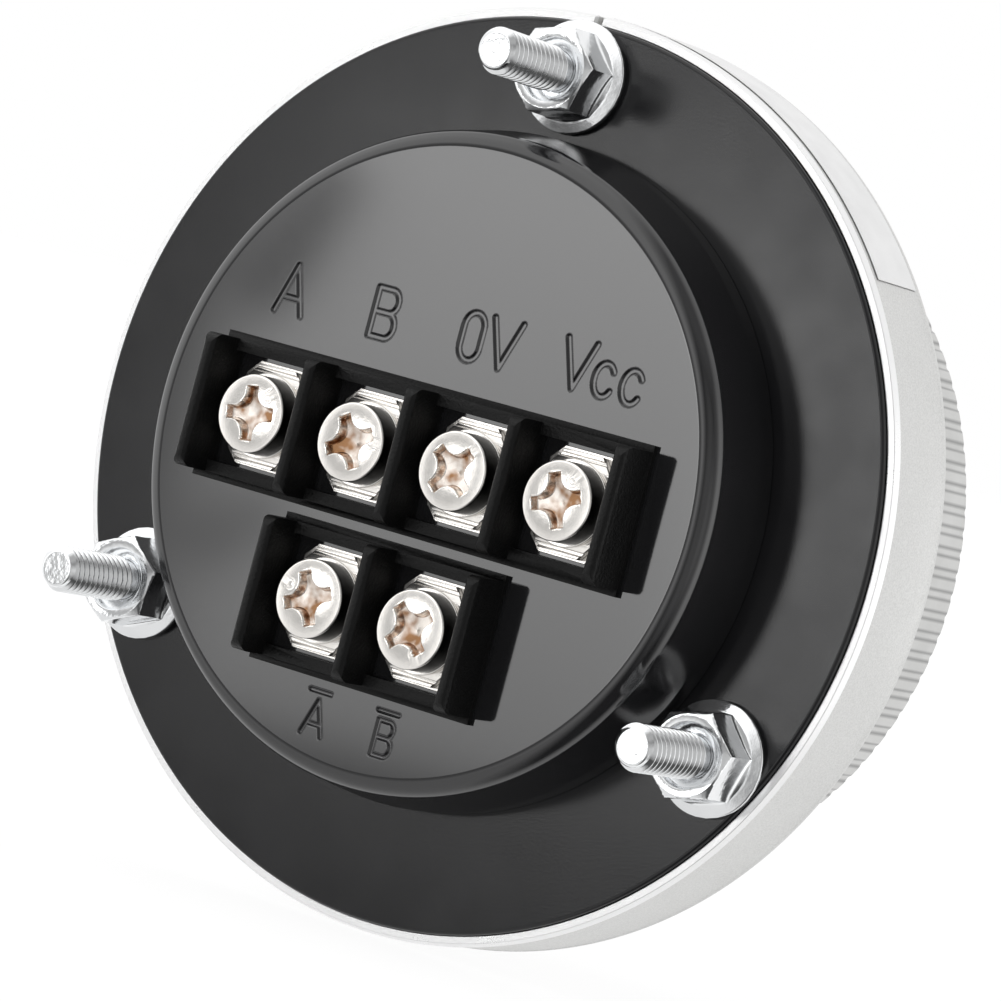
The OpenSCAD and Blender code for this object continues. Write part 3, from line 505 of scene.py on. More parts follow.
def make_piece(name, shells, node, sharp=32.0):
    """Builds closed shells of (points in mm, faces) into one object that stands for a CAD node."""
    points, faces, count = [], [], 0
    for p, f in shells:
        points.append(to_frame(p))
        faces.append(outward(p, f) + count)
        count += len(p)
    mesh = bpy.data.meshes.new(name)
    mesh.from_pydata(np.concatenate(points), [], np.concatenate(faces).tolist())
    tidy_mesh(mesh, sharp)
    obj = bpy.data.objects.new(name, mesh)
    bpy.context.scene.collection.objects.link(obj)
    stand_for(obj, node)
    print(f"{name}: {len(mesh.polygons)} faces")
    return obj


def bevelled(name, node, width_mm, segments=2, sharp=30.0, reshape=None):
    """A merged copy of a CAD node, reshaped point by point, with edges rounded by a modifier."""
    mesh = nodes[node].data.copy()
    mesh.name = name
    if reshape:
        points = np.empty(3 * len(mesh.vertices), np.float32)
        mesh.vertices.foreach_get("co", points)
        mesh.vertices.foreach_set("co", reshape(points.reshape(-1, 3)).ravel())
    tidy_mesh(mesh, sharp)
    obj = bpy.data.objects.new(name, mesh)
    bpy.context.scene.collection.objects.link(obj)
    bevel = obj.modifiers.new("bevel", "BEVEL")
    bevel.width, bevel.segments, bevel.limit_method = width_mm * MM, segments, "ANGLE"
    bevel.angle_limit, bevel.harden_normals = np.radians(sharp), True
    stand_for(obj, node)
    print(f"{name}: {len(mesh.polygons)} faces before its bevel")
    return obj


# %% [markdown]
# ## The cast flange, its seal and its label
#
# The flange is a die-cast ring: blasted on its side, with a bright turned edge at the rear and a
# rounded lip at the front. The black rubber seal lies on its rear face. Both are plain outlines
# carried round the axis. The foil label is a thin band bent round part of the flange's side, so
# it is a skin over rings, one at each angle, whose two ends are closed.

# %% Flange, gasket and label
KEY_START, KEY_END, SLOT_FRONT = 89.0, 90.3, -1.72
LABEL_START, LABEL_END = 37, 88.8
bearing_r = extent("rear_bearing_outer")[1][0] + 0.01
boss_front = flange_low[2]
boss_r, lip, web_back = bearing_r + 3, extent("index_mark")[0][2] + 0.15, cover_low[2]
SKIRT_R = COVER_R - 0.5
cavity_r = SKIRT_R + 0.2
SEAL_R = extent("gasket")[1][0]
side_r = FLANGE_R - 0.06
flange_path = outline(
    (bearing_r, boss_front + 0.8), (bearing_r - 0.8, boss_front + 0.8),
    (bearing_r - 0.8, boss_front), (boss_r, boss_front, 0.3), (boss_r, lip, 0.3),
    (FLANGE_R - 0.25, lip, 0.1), (FLANGE_R, lip + 0.3, 0.3), (FLANGE_R, lip + 0.75),
    (side_r, lip + 0.85), (side_r, SLOT_FRONT - 0.02), (side_r, SLOT_FRONT + 0.02),
    (side_r, LIP_START), (FLANGE_R, LIP_START + 0.05), (FLANGE_R - 0.25, -0.5, 0.08),
    (SEAL_R + 0.04, -0.5, 0.08), (SEAL_R + 0.04, -1, 0.1), (cavity_r, -1, 0.1),
    (cavity_r, web_back, 0.5), (boss_r, web_back, 0.5), (boss_r, -1.2, 0.3),
    (bearing_r, -1.2), (bearing_r, boss_front + 0.8))


def key_slot(r, w, a):
    """The rear lip drawn in to its seal over a short arc: a slot that keys it to its panel."""
    turn = np.degrees(a)
    inside = (turn > KEY_START) & (turn < KEY_END) & (r > SEAL_R) & (w > SLOT_FRONT)
    return np.where(inside, SEAL_R + 0.03, r)


whole_turns = np.delete(np.arange(0.0, 360.0), [89, 90])
slot_turns = [KEY_START - 0.01, KEY_START + 0.01, 89.6, KEY_END - 0.01, KEY_END + 0.01]
flange_turns = np.radians(np.sort([*whole_turns, *slot_turns]))
make_piece("cast_flange", [revolve(flange_path, angles=flange_turns, reshape=key_slot)],
           "flange_ring")
gasket_in = cavity_r + 0.01
gasket_path = outline((gasket_in, -1), (SEAL_R, -1), (SEAL_R, 0, 0.3), (gasket_in, 0, 0.12),
                      (gasket_in, -1))
make_piece("panel_gasket", [revolve(gasket_path, 360)], "gasket")


def loft(rings):
    """A skin over rings of points, (rings, points, 3); each end is closed to its middle."""
    ends = rings[[0, -1]].mean(1, keepdims=True).repeat(rings.shape[1], 1)
    rings = np.concatenate([ends[:1], rings, ends[1:]])
    return rings.reshape(-1, 3), grid_faces(*rings.shape[:2])


label_low, label_high = extent("side_label")
label_r = np.array([0.0, 0.06, 0.06, 0.0]) + FLANGE_R + 0.01
label_w = np.array([label_low[2], label_low[2], label_high[2], label_high[2]])
a = np.radians(np.linspace(LABEL_START, LABEL_END, 105))[:, None]
label_rings = np.broadcast_arrays(label_r * np.cos(a), label_r * np.sin(a), label_w)
make_piece("foil_label", [loft(np.stack(label_rings, -1))], "side_label")

# %% [markdown]
# ## The rear cover and its engraved letters
#
# The cover is a glossy moulded can, and the terminal names are pressed into its face: A, B, 0V
# and Vcc over the upper strip, and A and B with a bar over them under the lower one. The letters
# are real grooves. Each letter is a few strokes; every point of a fine grid is lowered by how
# close it lies to the nearest stroke, which gives a flat floor and soft walls. The grid's lines
# stop at the edge of the disc, so its outer points form the circle on which the rim begins.

# %% Letters as strokes
def arc(u, v, ru, rv, start, end, count=12):
    """Points on an ellipse with half widths ru and rv between two angles in degrees."""
    t = np.radians(np.linspace(start, end, count))
    return np.stack([u + ru * np.cos(t), v + rv * np.sin(t)], -1)


def letter_a(u, v, width, height):
    """A: two legs that meet at the top, and a bar at a third of its height."""
    foot, bar = width / 2, width / 2 * 0.68
    return [np.array([(u - foot, v), (u, v + height), (u + foot, v)]),
            np.array([(u - bar, v + height * 0.32), (u + bar, v + height * 0.32)])]


def letter_b(u, v, width, height):
    """B: a stem on the left and two bowls, the lower one slightly wider."""
    stem, right = u - width / 2, u + width / 2
    top, low = height * 0.24, height * 0.26
    upper_bowl = arc(right - top * 0.8 - 0.1, v + height - top, top * 0.8, top, 90, -90)
    lower_bowl = arc(right - low * 0.8, v + low, low * 0.8, low, 90, -90)
    return [np.array([(stem, v), (stem, v + height)]),
            np.vstack([(stem, v + height), upper_bowl, (stem, v + height - 2 * top)]),
            np.vstack([(stem, v + 2 * low), lower_bowl, (stem, v)])]


def letter_c(u, v, width, height):
    """c: an open ring, from its upper right round the left to its lower right."""
    return [arc(u, v + height / 2, width / 2, height / 2, 35, 325, 24)]


def letter_v(u, v, width, height):
    """V: two arms that meet at the foot."""
    return [np.array([(u - width / 2, v + height), (u, v), (u + width / 2, v + height)])]


def digit_0(u, v, width, height):
    """0: a tall ring with nearly straight sides."""
    r, rv = width / 2, height * 0.30
    ring = np.vstack([arc(u, v + height - rv, r, rv, 0, 180), arc(u, v + rv, r, rv, 180, 360)])
    return [np.vstack([ring, ring[:1]])]


upper_marks = (letter_a(-16.97, 8.93, 2.8, 4.2) + letter_b(-7.25, 8.95, 2.35, 4.15)
               + digit_0(1.71, 9.03, 2.0, 4.05) + letter_v(4.95, 9.05, 2.9, 4.05)
               + letter_v(12.36, 9.05, 2.9, 4.05) + letter_c(15.2, 9.0, 1.9, 2.8)
               + letter_c(17.95, 9.0, 1.9, 2.8))
lower_marks = (letter_a(-3.70, -24.60, 2.1, 2.95) + letter_b(3.46, -24.58, 1.75, 2.97)
               + [np.array([(-4.78, -20.89), (-2.68, -20.89)]),
                  np.array([(2.27, -20.86), (4.35, -20.86)])])
print("strokes:", len(upper_marks), "above and", len(lower_marks), "below the strips")

# %% [markdown]
# The face's grid is fine where the letters lie and coarse elsewhere. The rim, the leaning wall
# and the inside follow as one outline, carried round from the face's own edge points.

# %% The cover
def stroke_distance(u, v, strokes):
    """Distance from each (u, v) to the nearest segment of any stroke."""
    starts = np.concatenate([s[:-1] for s in strokes])
    ends = np.concatenate([s[1:] for s in strokes])
    along = ends - starts
    p = np.stack([u.ravel(), v.ravel()], -1)[:, None, :] - starts
    t = np.clip((p * along).sum(-1) / (along ** 2).sum(-1), 0, 1)[..., None]
    return np.sqrt(((p - t * along) ** 2).sum(-1).min(1)).reshape(u.shape)


def groove(distance, half_width, wall=0.13, depth=0.2):
    """A groove: full depth near the stroke, easing to none over the wall at half_width."""
    t = np.clip((half_width - distance) / wall, 0, 1)
    return depth * t * t * (3 - 2 * t)


def spaced(coarse, fine, bands):
    """The coarse values, with values a fine step apart in their place inside each band."""
    inside = np.any([(coarse >= a - fine / 2) & (coarse <= b + fine / 2) for a, b in bands], 0)
    return np.sort(np.concatenate([coarse[~inside], *(np.arange(a, b, fine) for a, b in bands)]))


ROUND, LEAN, LAND, ROOF = 1.6, np.radians(9.5), 2.0, 6.4
FINE = 0.065
rim_z = COVER_TOP - ROUND
rim_foot = rim_z + ROUND * np.sin(LEAN)
lean = (rim_foot - LAND) * np.tan(LEAN)
FACE_R = COVER_R - lean - ROUND * np.cos(LEAN) - 0.05
coarse_rows = FACE_R * np.sin(np.radians(np.linspace(-90, 90, 91)))
v_rows = spaced(coarse_rows, FINE, [(-25.1, -20.4), (8.4, 13.7)])
u_cols = spaced(np.linspace(-FACE_R, FACE_R, 60), FINE,
                [(-19.0, -15.0), (-9.0, -5.5), (-5.3, -2.2), (0.2, 6.9), (10.4, 19.3)])
reach = np.sqrt(np.maximum(FACE_R ** 2 - v_rows ** 2, 0))[:, None]
u = np.clip(u_cols[None, :], -reach, reach)
v = np.broadcast_to(v_rows[:, None], u.shape)
sink = np.zeros(u.shape)
for strokes, half_width, rows in ((upper_marks, 0.29, (v_rows > 8) & (v_rows < 14)),
                                  (lower_marks, 0.235, (v_rows > -25.5) & (v_rows < -20))):
    sink[rows] = groove(stroke_distance(u[rows], v[rows], strokes), half_width)
face = np.stack([u, v, COVER_TOP - sink], -1)
columns = len(u_cols)
cell = np.arange(len(v_rows) - 1)[:, None] * columns + np.arange(columns - 1)[None, :]
face_quads = np.stack([cell, cell + 1, cell + columns + 1, cell + columns], -1).reshape(-1, 4)
right_half = np.arcsin(v_rows / FACE_R)
rim_angles = np.concatenate([right_half, np.pi - right_half[-2:0:-1]])
turn = np.linspace(np.pi / 2, LEAN, 12)
edge_path = np.stack([FACE_R + 0.05 + ROUND * np.cos(turn), rim_z + ROUND * np.sin(turn)], -1)
wall_in = SKIRT_R - 1.8
cover_path = np.vstack([[(FACE_R, COVER_TOP)], edge_path, outline(
    (COVER_R - lean + 0.01, rim_foot - 0.06), (COVER_R, LAND, 1.0), (COVER_R, 0.0, 0.12),
    (SKIRT_R, 0.0), (SKIRT_R, web_back), (wall_in, web_back), (wall_in, ROOF, 0.5),
    (0.0, ROOF))])
rim_points, rim_quads = revolve(cover_path, angles=rim_angles)
print("face grid", u.shape, "rim starts at", cover_path[0].round(3))
make_piece("rear_can", [(np.concatenate([face.reshape(-1, 3), rim_points]),
                         np.concatenate([face_quads, rim_quads[:, ::-1] + u.size]))],
           "rear_cover", sharp=62)

# %% [markdown]
# ## Studs and flange nuts
#
# Three M4 studs stand in the flange, each with a flange nut, and they hold the wheel to its
# panel. The thread is a real helix: the radius rises and falls with w less the angle, in turns,
# times the 0.7 mm pitch, and it fades into the chamfered tip. The nut's radius is the hexagon
# where that is larger than the cone of its flange, and the chamfer where that is smaller.

# %% Threads and hexagons
STUD_CIRCLE_R, THREAD_PITCH, THREAD_START = 34.35, 0.7, 4.8
STUD_PLACES = [STUD_CIRCLE_R * np.array([np.cos(a), np.sin(a)])
               for a in np.radians([90, 210, 330])]
NUT_TURNS = np.radians([11, 22, 13])
FACET = np.pi / 3
FACET_STEPS = np.array([0, .02, .07, .16, .3, .5, .7, .84, .93, .98])
foot, tip = (corner[2] for corner in extent("studs"))
nut_top = extent("flange_nuts")[1][2]


def threaded(r, w, a, major=2.0, minor=1.6):
    """The smaller of r and a helical ridge between minor and major, along the thread only."""
    phase = (w / THREAD_PITCH - a / FULL_TURN) % 1.0
    ridge = np.clip((abs(2 * phase - 1) - 0.12) / 0.74, 0, 1)
    helix = minor + (major - minor) * ridge
    return np.where((w > THREAD_START) & (w < tip - 1e-6), np.minimum(r, helix), r)


thread_w = np.arange(THREAD_START + 0.05, tip - 0.45, THREAD_PITCH / 12)
stud_path = np.vstack([
    [(0, foot), (1.4, foot), (1.77, foot + 0.4), (1.77, THREAD_START - 0.05),
     (1.77, THREAD_START)],
    np.stack([np.full_like(thread_w, 2.0), thread_w], -1),
    outline((1.98, tip - 0.45), (1.45, tip, 0.25), (0, tip))])
studs = [revolve(stud_path, 48, at=place, reshape=threaded) for place in STUD_PLACES]
make_piece("threaded_studs", studs, "studs", sharp=50)


def hexagon(a, across, turn=0.0):
    """Radius of a hexagon at angle a: half its width over the cosine of the angle from a flat."""
    return across / 2 / np.cos((a - turn) % FACET - FACET / 2)


def nut_outline(turn, across=7.0, bore=1.79, mouth=2.76, brim_r=4.9):
    """Rows of the nut: its brim, the larger of cone and hexagon less the chamfer, its bore."""
    a = (FACET * (np.arange(6)[:, None] + FACET_STEPS)).ravel() + turn
    brim = outline((brim_r - 0.35, 0.0), (brim_r, 0.42, 0.15), (brim_r, 0.72, 0.12),
                   (4.1, 1.0, 0.4), (3.9, 1.06), steps=4)
    w_up = np.concatenate([np.linspace(1.12, 2.4, 12), [3.0, 3.4],
                           np.linspace(3.6, nut_top, 14)])[:, None]
    flare = 3.0 + 1.1 * (1 - np.clip((w_up - 1.0) / 1.3, 0, 1)) ** 2
    outer = (hexagon(a, across, turn) ** 16 + flare ** 16) ** (1 / 16)
    outer = np.minimum(outer, across / 2 - 0.12 + (nut_top - w_up) * 1.75)
    inner = np.array([(mouth + 0.05, nut_top), (mouth, nut_top - 0.02),
                      (bore, nut_top - mouth + bore), (bore, 0.0)])
    w = np.concatenate([brim[:, 1:], w_up, inner[:, 1:]]) + 0 * a
    r = np.concatenate([brim[:, :1] + 0 * a, outer, inner[:, :1] + 0 * a])
    return np.stack([r * np.cos(a), r * np.sin(a), w], -1)


def flange_nut(place, turn):
    """One nut on its stud, as a closed shell."""
    rows = nut_outline(turn)
    rows[..., :2] += place
    return rows.reshape(-1, 3), grid_faces(*rows.shape[:2], loop=True)


nuts = [flange_nut(place, turn) for place, turn in zip(STUD_PLACES, NUT_TURNS)]
make_piece("flange_nut_set", nuts, "flange_nuts", sharp=28)

# %% [markdown]
# ## Terminals
#
# Six M3.5 terminal screws clamp grooved plates between the moulded barriers. The blocks, plates
# and washers are the CAD pieces with their edges rounded by a bevel, and the clamp plates also
# lose the inner one of the two grooves on each side. The screw heads are new: a polar grid,
# lowered by a cross recess whose walls are a distance function, as on a real cold-formed head,
# where soft fillets open the middle of the cross. A small ring beside the cross is the mark of
# the tool that formed the head.

# %% Terminal blocks, plates and screws
def one_groove(points):
    """Each clamp plate keeps its outer grooves; the floor of an inner one comes up to the top."""
    w, v = points[:, 1], points[:, 2]
    middle, reach = (v.max() + v.min()) / 2, (v.max() - v.min()) / 2
    in_groove = (w < w.max() - 0.1 * MM) & (w > w.max() - 0.25 * MM)
    w[in_groove & (abs(v - middle) < reach - 0.9 * MM)] = w.max()
    return points


for row in ("upper", "lower"):
    bevelled(f"{row}_barrier_block", f"{row}_terminal_block", 0.42, segments=4)
    bevelled(f"{row}_contact_plates", f"{row}_terminal_plates", 0.07)
    bevelled(f"{row}_round_washers", f"{row}_head_washers", 0.09)
    bevelled(f"{row}_wire_clamps", f"{row}_clamp_washers", 0.07, reshape=one_groove)
SEAT = 9.5


def cross_distance(x, y, length=2.32, half_width=0.56, fillet=1.25):
    """Distance outside a cross: its arms' sides, its ends, and arcs that open its inner corners."""
    a, b = np.maximum(abs(x), abs(y)), np.minimum(abs(x), abs(y))
    centre = half_width + fillet
    side = np.where(a < centre, fillet - np.hypot(centre - a, centre - b), b - half_width)
    return np.maximum(side, a - length)


def screw_head(place, turn, dot, radius=3.35, height=2.1, dome=0.24):
    """Dome and rounded edge on a polar grid, less the cross recess and the tool's ring mark."""
    a = np.linspace(0, 2 * np.pi, 168, endpoint=False)
    rows = outline((0, 0), (radius, 0), (radius, height - dome, 0.22), (2.5, height - 0.02))
    r_in = np.linspace(2.48, 0.0, 38)
    rows = np.vstack([rows[:-1], np.stack([r_in, height - dome * (r_in / radius) ** 2.5], -1)])
    r, w = rows[:, :1] + 0 * a, rows[:, 1:] + 0 * a
    x, y = r * np.cos(a), r * np.sin(a)
    t = np.clip((0.04 - cross_distance(x, y)) / 0.2, 0, 1)
    depth = (1.35 - 0.25 * np.hypot(x, y)) * t * t * (3 - 2 * t)
    ring = np.hypot(x - dot[0], y - dot[1])
    depth = depth + 0.05 * np.exp(-((ring - 0.4) / 0.09) ** 2)
    w = w - np.where((w > height * 0.6) & (r < 3.0), depth, 0)
    c, s = np.cos(turn), np.sin(turn)
    points = np.stack([place[0] + x * c - y * s, place[1] + x * s + y * c, SEAT + w], -1)
    return points.reshape(-1, 3), grid_faces(*r.shape)


def screw_shank(place, low):
    """The plain end of the screw below its head, closed at both ends."""
    path = np.array([(0, low), (1.5, low), (1.7, low + 0.2), (1.7, SEAT), (0, SEAT)])
    return revolve(path, 32, at=place)


TERMINALS = {"upper": [((k - 1.5) * TERMINAL_PITCH, 0.0) for k in range(4)],
             "lower": [((k - 0.5) * TERMINAL_PITCH, -ROW_DROP) for k in range(2)]}
CROSS_TURNS = {"upper": (8, 28, 50, 20), "lower": (23, 43)}
RING_MARKS = {"upper": (50, 10, 50, 60), "lower": (160, -60)}
for row, places in TERMINALS.items():
    low = extent(f"{row}_terminal_screws")[0][2]
    shells = []
    for place, turn, mark in zip(places, np.radians(CROSS_TURNS[row]), np.radians(RING_MARKS[row])):
        spot = 2.2 * np.array([np.cos(mark - turn), np.sin(mark - turn)])
        shells += [screw_head(place, turn, spot), screw_shank(place, low)]
    screws = make_piece(f"{row}_pan_screws", shells, f"{row}_terminal_screws", sharp=60)
    screws.data.materials[0] = FINISHES["screw_nickel"]

# %% [markdown]
# ## The handwheel and its dial
#
# The wheel is turned aluminium with 110 fine round flutes along its rim, which are its grip.
# Its face carries a black dial with 100 divisions and a numeral at every tenth, a glossy cap
# over the shaft nut, and the crank knob. The flutes are part of the radius on the same grid.

# %% Wheel
rim_front, rim_rear = wheel_low[2], extent("handwheel")[1][2]


def fluted(r, w, a, half=0.6, depth=0.22):
    """r less a flute near the rim: depth (1 - t^2)^2, with t how far a lies across it."""
    across = ((a * FLUTES / FULL_TURN + 0.5) % 1.0 - 0.5) * FULL_TURN / FLUTES * WHEEL_R
    cut = depth * (1 - np.clip(across / half, -1, 1) ** 2) ** 2
    return np.where(r > WHEEL_R - 1.2, np.minimum(r, WHEEL_R - cut), r)


face_back, dial_floor, collar_front = rim_front + 3, rim_front + 0.8, boss_front - 0.9
shaft_hole, rim_inside = 4.01, WHEEL_R - 3
dial_edge = rim_inside - 0.1
wheel_path = outline(
    (shaft_hole, collar_front), (shaft_hole, rim_front + 4.4), (7.2, rim_front + 4.4),
    (7.2, dial_floor), (dial_edge, dial_floor), (dial_edge, rim_front, 0.15),
    (WHEEL_R - 1, rim_front, 0.4), (WHEEL_R, rim_front + 1, 0.4), (WHEEL_R, rim_rear - 0.6, 0.2),
    (WHEEL_R - 0.6, rim_rear, 0.2), (rim_inside, rim_rear, 0.2), (rim_inside, face_back, 1.0),
    (9.5, face_back, 0.8), (9.5, collar_front, 0.3), (shaft_hole, collar_front), steps=5)
CRANK_R, CRANK_TURN = 20.6, np.radians(140)
CRANK = CRANK_R * np.array([np.cos(CRANK_TURN), np.sin(CRANK_TURN)])
crank_boss = outline((0, face_back - 0.2), (5, face_back - 0.2), (5, face_back + 3.6, 0.4),
                     (0, face_back + 3.6))
wheel_shells = [revolve(wheel_path, FLUTES * 10, reshape=fluted),
                revolve(crank_boss, 64, at=CRANK)]
make_piece("knurled_wheel", wheel_shells, "handwheel", sharp=40)

# %% [markdown]
# The dial, the domed cap and the crank's grip are plain outlines again. The grip's waist is two
# large arcs, which the rounded corners of its outline give.

# %% Dial, cap and knob
dial_path = outline((10.1, dial_floor), (10.1, rim_front, 0.15), (dial_edge - 0.1, rim_front, 0.15),
                    (dial_edge - 0.1, dial_floor), (10.1, dial_floor))
make_piece("dial_face", [revolve(dial_path, 240)], "dial_plate")
CAP_SPHERE_R = 42.27
dome = np.linspace(0, 9.6, 14)
dome_w = rim_front - 1.6 + CAP_SPHERE_R - np.sqrt(CAP_SPHERE_R ** 2 - dome ** 2)
cap_path = np.vstack([np.stack([dome, dome_w], -1),
                      outline((9.7, rim_front - 0.45), (10, rim_front - 0.4, 0.15),
                              (10, dial_floor), (0, dial_floor))])
make_piece("shaft_cap", [revolve(cap_path, 180)], "hub_cap", sharp=50)
knob_low, knob_high = extent("crank_knob")
end, rear = knob_low[2], knob_high[2]
knob_path = outline(
    (4.06, rear), (4.65, rear), (5.25, rear - 0.6, 0.4), (5.25, rear - 4, 4.0),
    (7.25, end + 9.9, 6.0), (7.25, end, 2.0), (5.7, end, 0.15), (5.6, end + 1.6),
    (5.0, end + 1.6), (5.0, end + 6.4), (4.06, end + 6.4), (4.06, rear), steps=8)
make_piece("crank_grip", [revolve(knob_path, 128, at=CRANK)], "crank_knob")
plug_path = outline((0, end + 0.1), (5.5, end + 0.1, 0.3), (5.5, end + 1.6), (0, end + 1.6))
make_piece("grip_plug", [revolve(plug_path, 96, at=CRANK)], "knob_cap")
bevelled("pointer_mark", "index_mark", 0.08)

# %% [markdown]
# The dial's print is a thin layer of white ink: 100 divisions, longer at every fifth and tenth,
# and the numerals 0 to 90. The divisions are small boxes placed by angle in one array. The
# numerals are text made into a mesh, because only their outline matters.

# %% Dial print
PRINT = 0.03


def divisions(count=100, outer=28.6):
    """Boxes round the dial: 3.2 mm long at each tenth, 2.4 at each fifth and 1.7 elsewhere."""
    k = np.arange(count)
    length = np.where(k % 10 == 0, 3.2, np.where(k % 5 == 0, 2.4, 1.7))
    width = np.where(k % 10 == 0, 0.32, 0.2)
    corners = ((0, -1), (1, -1), (1, 1), (0, 1))
    side = np.array([(i, j, h) for h in (0, 1) for i, j in corners], float)
    r = outer - side[:, 0] * length[:, None]
    t = side[:, 1] * width[:, None] / 2
    a = np.radians(90 + k * 360 / count)[:, None]
    w = rim_front - side[:, 2] * PRINT + 0 * r
    points = np.stack([r * np.cos(a) - t * np.sin(a), r * np.sin(a) + t * np.cos(a), w], -1)
    box = np.array([(0, 1, 2, 3), (7, 6, 5, 4), (0, 4, 5, 1), (1, 5, 6, 2), (2, 6, 7, 3),
                    (3, 7, 4, 0)])
    return points.reshape(-1, 3), (k[:, None, None] * 8 + box).reshape(-1, 4)


def numeral(value, radius=22.9, size=2.9):
    """A numeral that reads from the front, upright at its angle on the dial, as a mesh."""
    curve = bpy.data.curves.new("numeral", "FONT")
    curve.body, curve.align_x, curve.align_y = str(value), "CENTER", "CENTER"
    curve.size, curve.extrude = size * MM, PRINT / 2 * MM
    text = bpy.data.objects.new("numeral", curve)
    mesh = bpy.data.meshes.new_from_object(text)
    turn = np.radians(value * 3.6)
    a = np.pi / 2 + turn
    spot = to_frame((radius * np.cos(a), radius * np.sin(a), rim_front - PRINT / 2))
    upright = Matrix.Rotation(np.pi / 2, 4, "X")
    mesh.transform(Matrix.Translation(spot) @ Matrix.Rotation(turn, 4, "Y") @ upright)
    bpy.data.objects.remove(text)
    return mesh


points, faces = divisions()
work = bmesh.new()
marks = bpy.data.meshes.new("dial_print")
marks.from_pydata(to_frame(points), [], faces.tolist())
work.from_mesh(marks)
for value in range(0, 100, 10):
    work.from_mesh(numeral(value))
bmesh.ops.remove_doubles(work, verts=work.verts, dist=1e-7)
bmesh.ops.recalc_face_normals(work, faces=work.faces)
work.to_mesh(marks)
work.free()
dial_print = bpy.data.objects.new("dial_print", marks)
bpy.context.scene.collection.objects.link(dial_print)
marks.materials.append(FINISHES["dial_white"])
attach(dial_print, "handwheel")
print("dial print:", len(marks.polygons), "faces")

# %% [markdown]
# ## Softbox, floor and surroundings
#
# A large softbox sits where the glossy cover mirrors it towards the camera. It is a glowing card
# with two soft dark streaks, a slow fade and a brighter side, each placed by how the cover
# mirrors it.
# The floor is white to the camera, through Light Path, keeps a soft shadow and stays out of
# reflections.

# %% Softbox and floor
def stage_card(name, size, place, finish):
    """A flat rectangle for the studio: its matrix puts local X and Y across it."""
    mesh = bpy.data.meshes.new(name)
    x, y = size[0] / 2, size[1] / 2
    mesh.from_pydata([(-x, -y, 0), (x, -y, 0), (x, y, 0), (-x, y, 0)], [], [(0, 1, 2, 3)])
    mesh.materials.append(finish.material)
    obj = bpy.data.objects.new(name, mesh)
    bpy.context.scene.collection.objects.link(obj)
    obj.matrix_world = place
    return obj


def glow_over(finish, strength, share):
    """Mixes a white glow of that strength over the finish by share."""
    glow = finish.add("ShaderNodeEmission", "Emission", Color=(1.0, 1.0, 1.0, 1.0),
                      Strength=strength)
    mix = finish.add("ShaderNodeMixShader", "Shader", Fac=share)
    finish.tree.links.new(finish.shader.outputs[0], mix.socket.node.inputs[1])
    finish.tree.links.new(glow.socket, mix.socket.node.inputs[2])
    finish.tree.links.new(mix.socket, finish.tree.nodes["Material Output"].inputs["Surface"])


def segment_mask(x, y, start, end, inner, outer):
    """1 within inner of the segment from start to end, 0 beyond outer, smooth between."""
    (ax, ay), (bx, by) = start, end
    length2 = (bx - ax) ** 2 + (by - ay) ** 2
    along = (x - ax) * ((bx - ax) / length2) + (y - ay) * ((by - ay) / length2)
    t = along.math("ADD", 0.0, clamp=True)
    dx, dy = x - t * (bx - ax) - ax, y - t * (by - ay) - ay
    return 1 - ((dx * dx + dy * dy) ** 0.5).step(inner, outer)


NEAR_LAMP = 0.42
box_finish = Finish("softbox_cloth", (0.0, 0.0, 0.0), roughness=1.0)
bx, by = box_finish.axis("X"), box_finish.axis("Y")
panel = bx.step(-68, -42) * (1 - bx.step(90, 125)) * by.step(-88, -76) * (1 - by.step(55, 85))
left_streak = segment_mask(bx, by, (-40, 33), (-48, 8), 3, 8) * 0.88
low_streak = segment_mask(bx, by, (-46, -46), (-38, -38), 2, 9) * 0.6
brightness = by * 0.012 + bx.step(48, 75) * 1.3 + 2.95
cloth = panel * (brightness - NEAR_LAMP) + NEAR_LAMP
glow_over(box_finish, cloth * (1 - left_streak) * (1 - low_streak), 1.0)
toward = Vector((0.53, 0.845, 0.0)).normalized()
softbox = stage_card("softbox", (0.30, 0.24), Matrix.Translation(toward * 0.7) @ (
    toward.to_track_quat("Z", "Y").to_matrix().to_4x4()), box_finish)
softbox.visible_camera = False
floor_finish = Finish("floor_white", (0.9, 0.9, 0.9), roughness=0.9)
glow_over(floor_finish, 1.08, floor_finish.add("ShaderNodeLightPath", "Is Camera Ray") * 0.85)
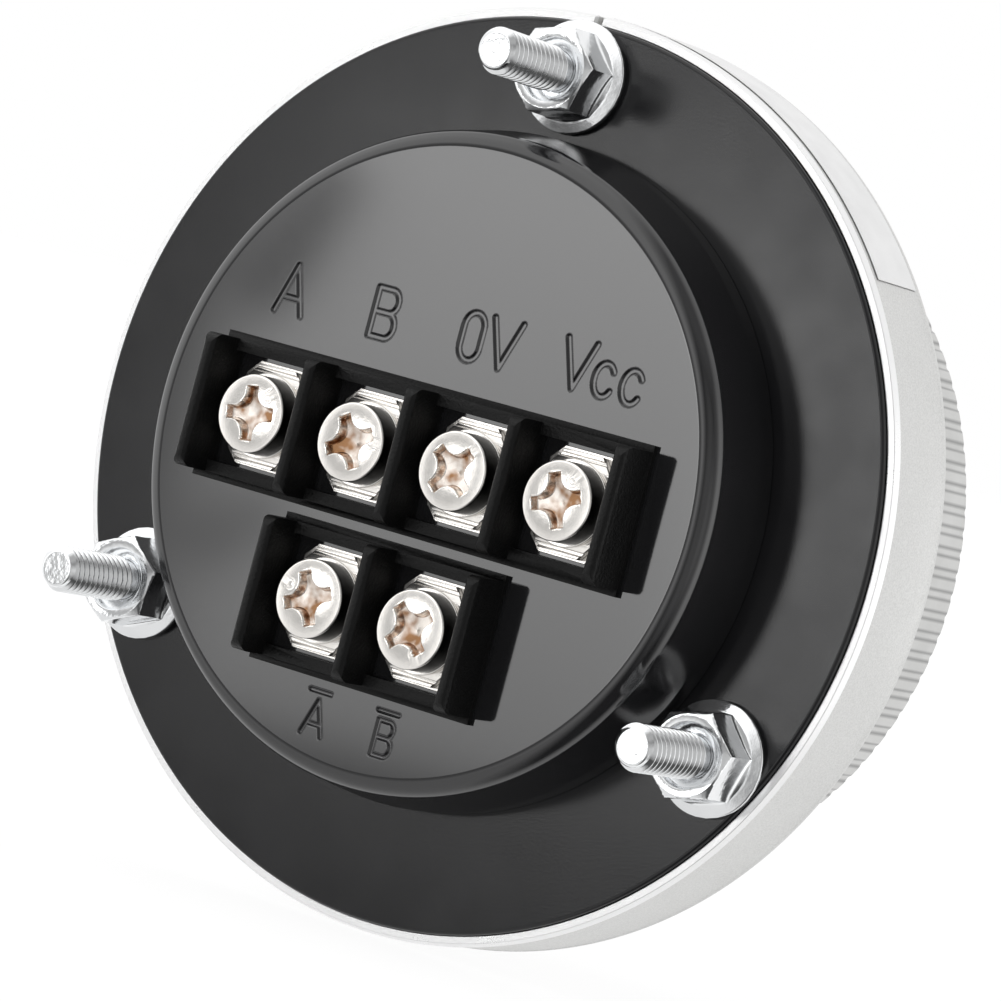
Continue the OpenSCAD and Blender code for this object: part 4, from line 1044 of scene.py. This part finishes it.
below = Matrix.Translation((0, 0, cad_box[0][2] - 0.0001))
floor = stage_card("studio_floor", (12, 12), below, floor_finish)
floor.visible_glossy = False
print("softbox and floor")

# %% [markdown]
# The world is white to the camera. For light and reflections it is pale on the wheel's side and
# dark on the terminals' side, which gives the plated nuts their contrast. The dark side is lit
# where the softbox stands and a little overhead. One flank of the room is brighter, and a weak
# fill lies beside the camera.

# %% The world's light
sky = world.node_tree
direction = sky.nodes.new("ShaderNodeTexCoord").outputs["Generated"]
split = sky.nodes.new("ShaderNodeSeparateXYZ")
sky.links.new(direction, split.inputs[0])
toward_right, toward_rear, upward = (Wire(sky, split.outputs[k]) for k in "XYZ")
light_path = sky.nodes.new("ShaderNodeLightPath").outputs
seen, mirrored, through = (Wire(sky, light_path[f"Is {kind} Ray"])
                           for kind in ("Camera", "Glossy", "Transmission"))
PALE, DARK = 0.85, 0.08
rear_side, lamp_side = toward_rear.step(-0.2, 0.15), toward_right.step(-0.25, 0.1)
overhead = upward.step(0.3, 0.7)
off_lamp = 1 - (toward_right * toward.x + toward_rear * toward.y).step(0.93, 0.982)
lamp_room = off_lamp * (upward.step(-0.4, -0.1) * 0.5 + 0.4) + NEAR_LAMP - DARK
rear_light = lamp_side * lamp_room + (1 - lamp_side) * overhead * 0.35 + DARK
side_lamp = 1 - toward_right.step(-0.95, -0.75)
fill = (toward_right * -0.64 + toward_rear * 0.77).step(0.84, 0.97) * 0.45
backdrop = mirrored * (1 - PALE) + PALE
room = rear_side * (rear_light - backdrop) + backdrop + side_lamp * 0.5 + fill
behind = seen.math("MAXIMUM", through)
plug(sky, sky.nodes["Background"].inputs["Strength"], behind + (1 - behind) * room)
sky.nodes["Background"].inputs["Color"].default_value = (1.0, 1.0, 1.0, 1.0)
print("room: pale", PALE, "dark", DARK)

# %% [markdown]
# ## The size, once more
# The box that the CAD fills is printed, in millimetres.
# The visual pieces must fill the box that the CAD fills, so both boxes are written side by side.

# %% Finish
print("cad box", [[round(v * 1000, 2) for v in c] for c in cad_box])
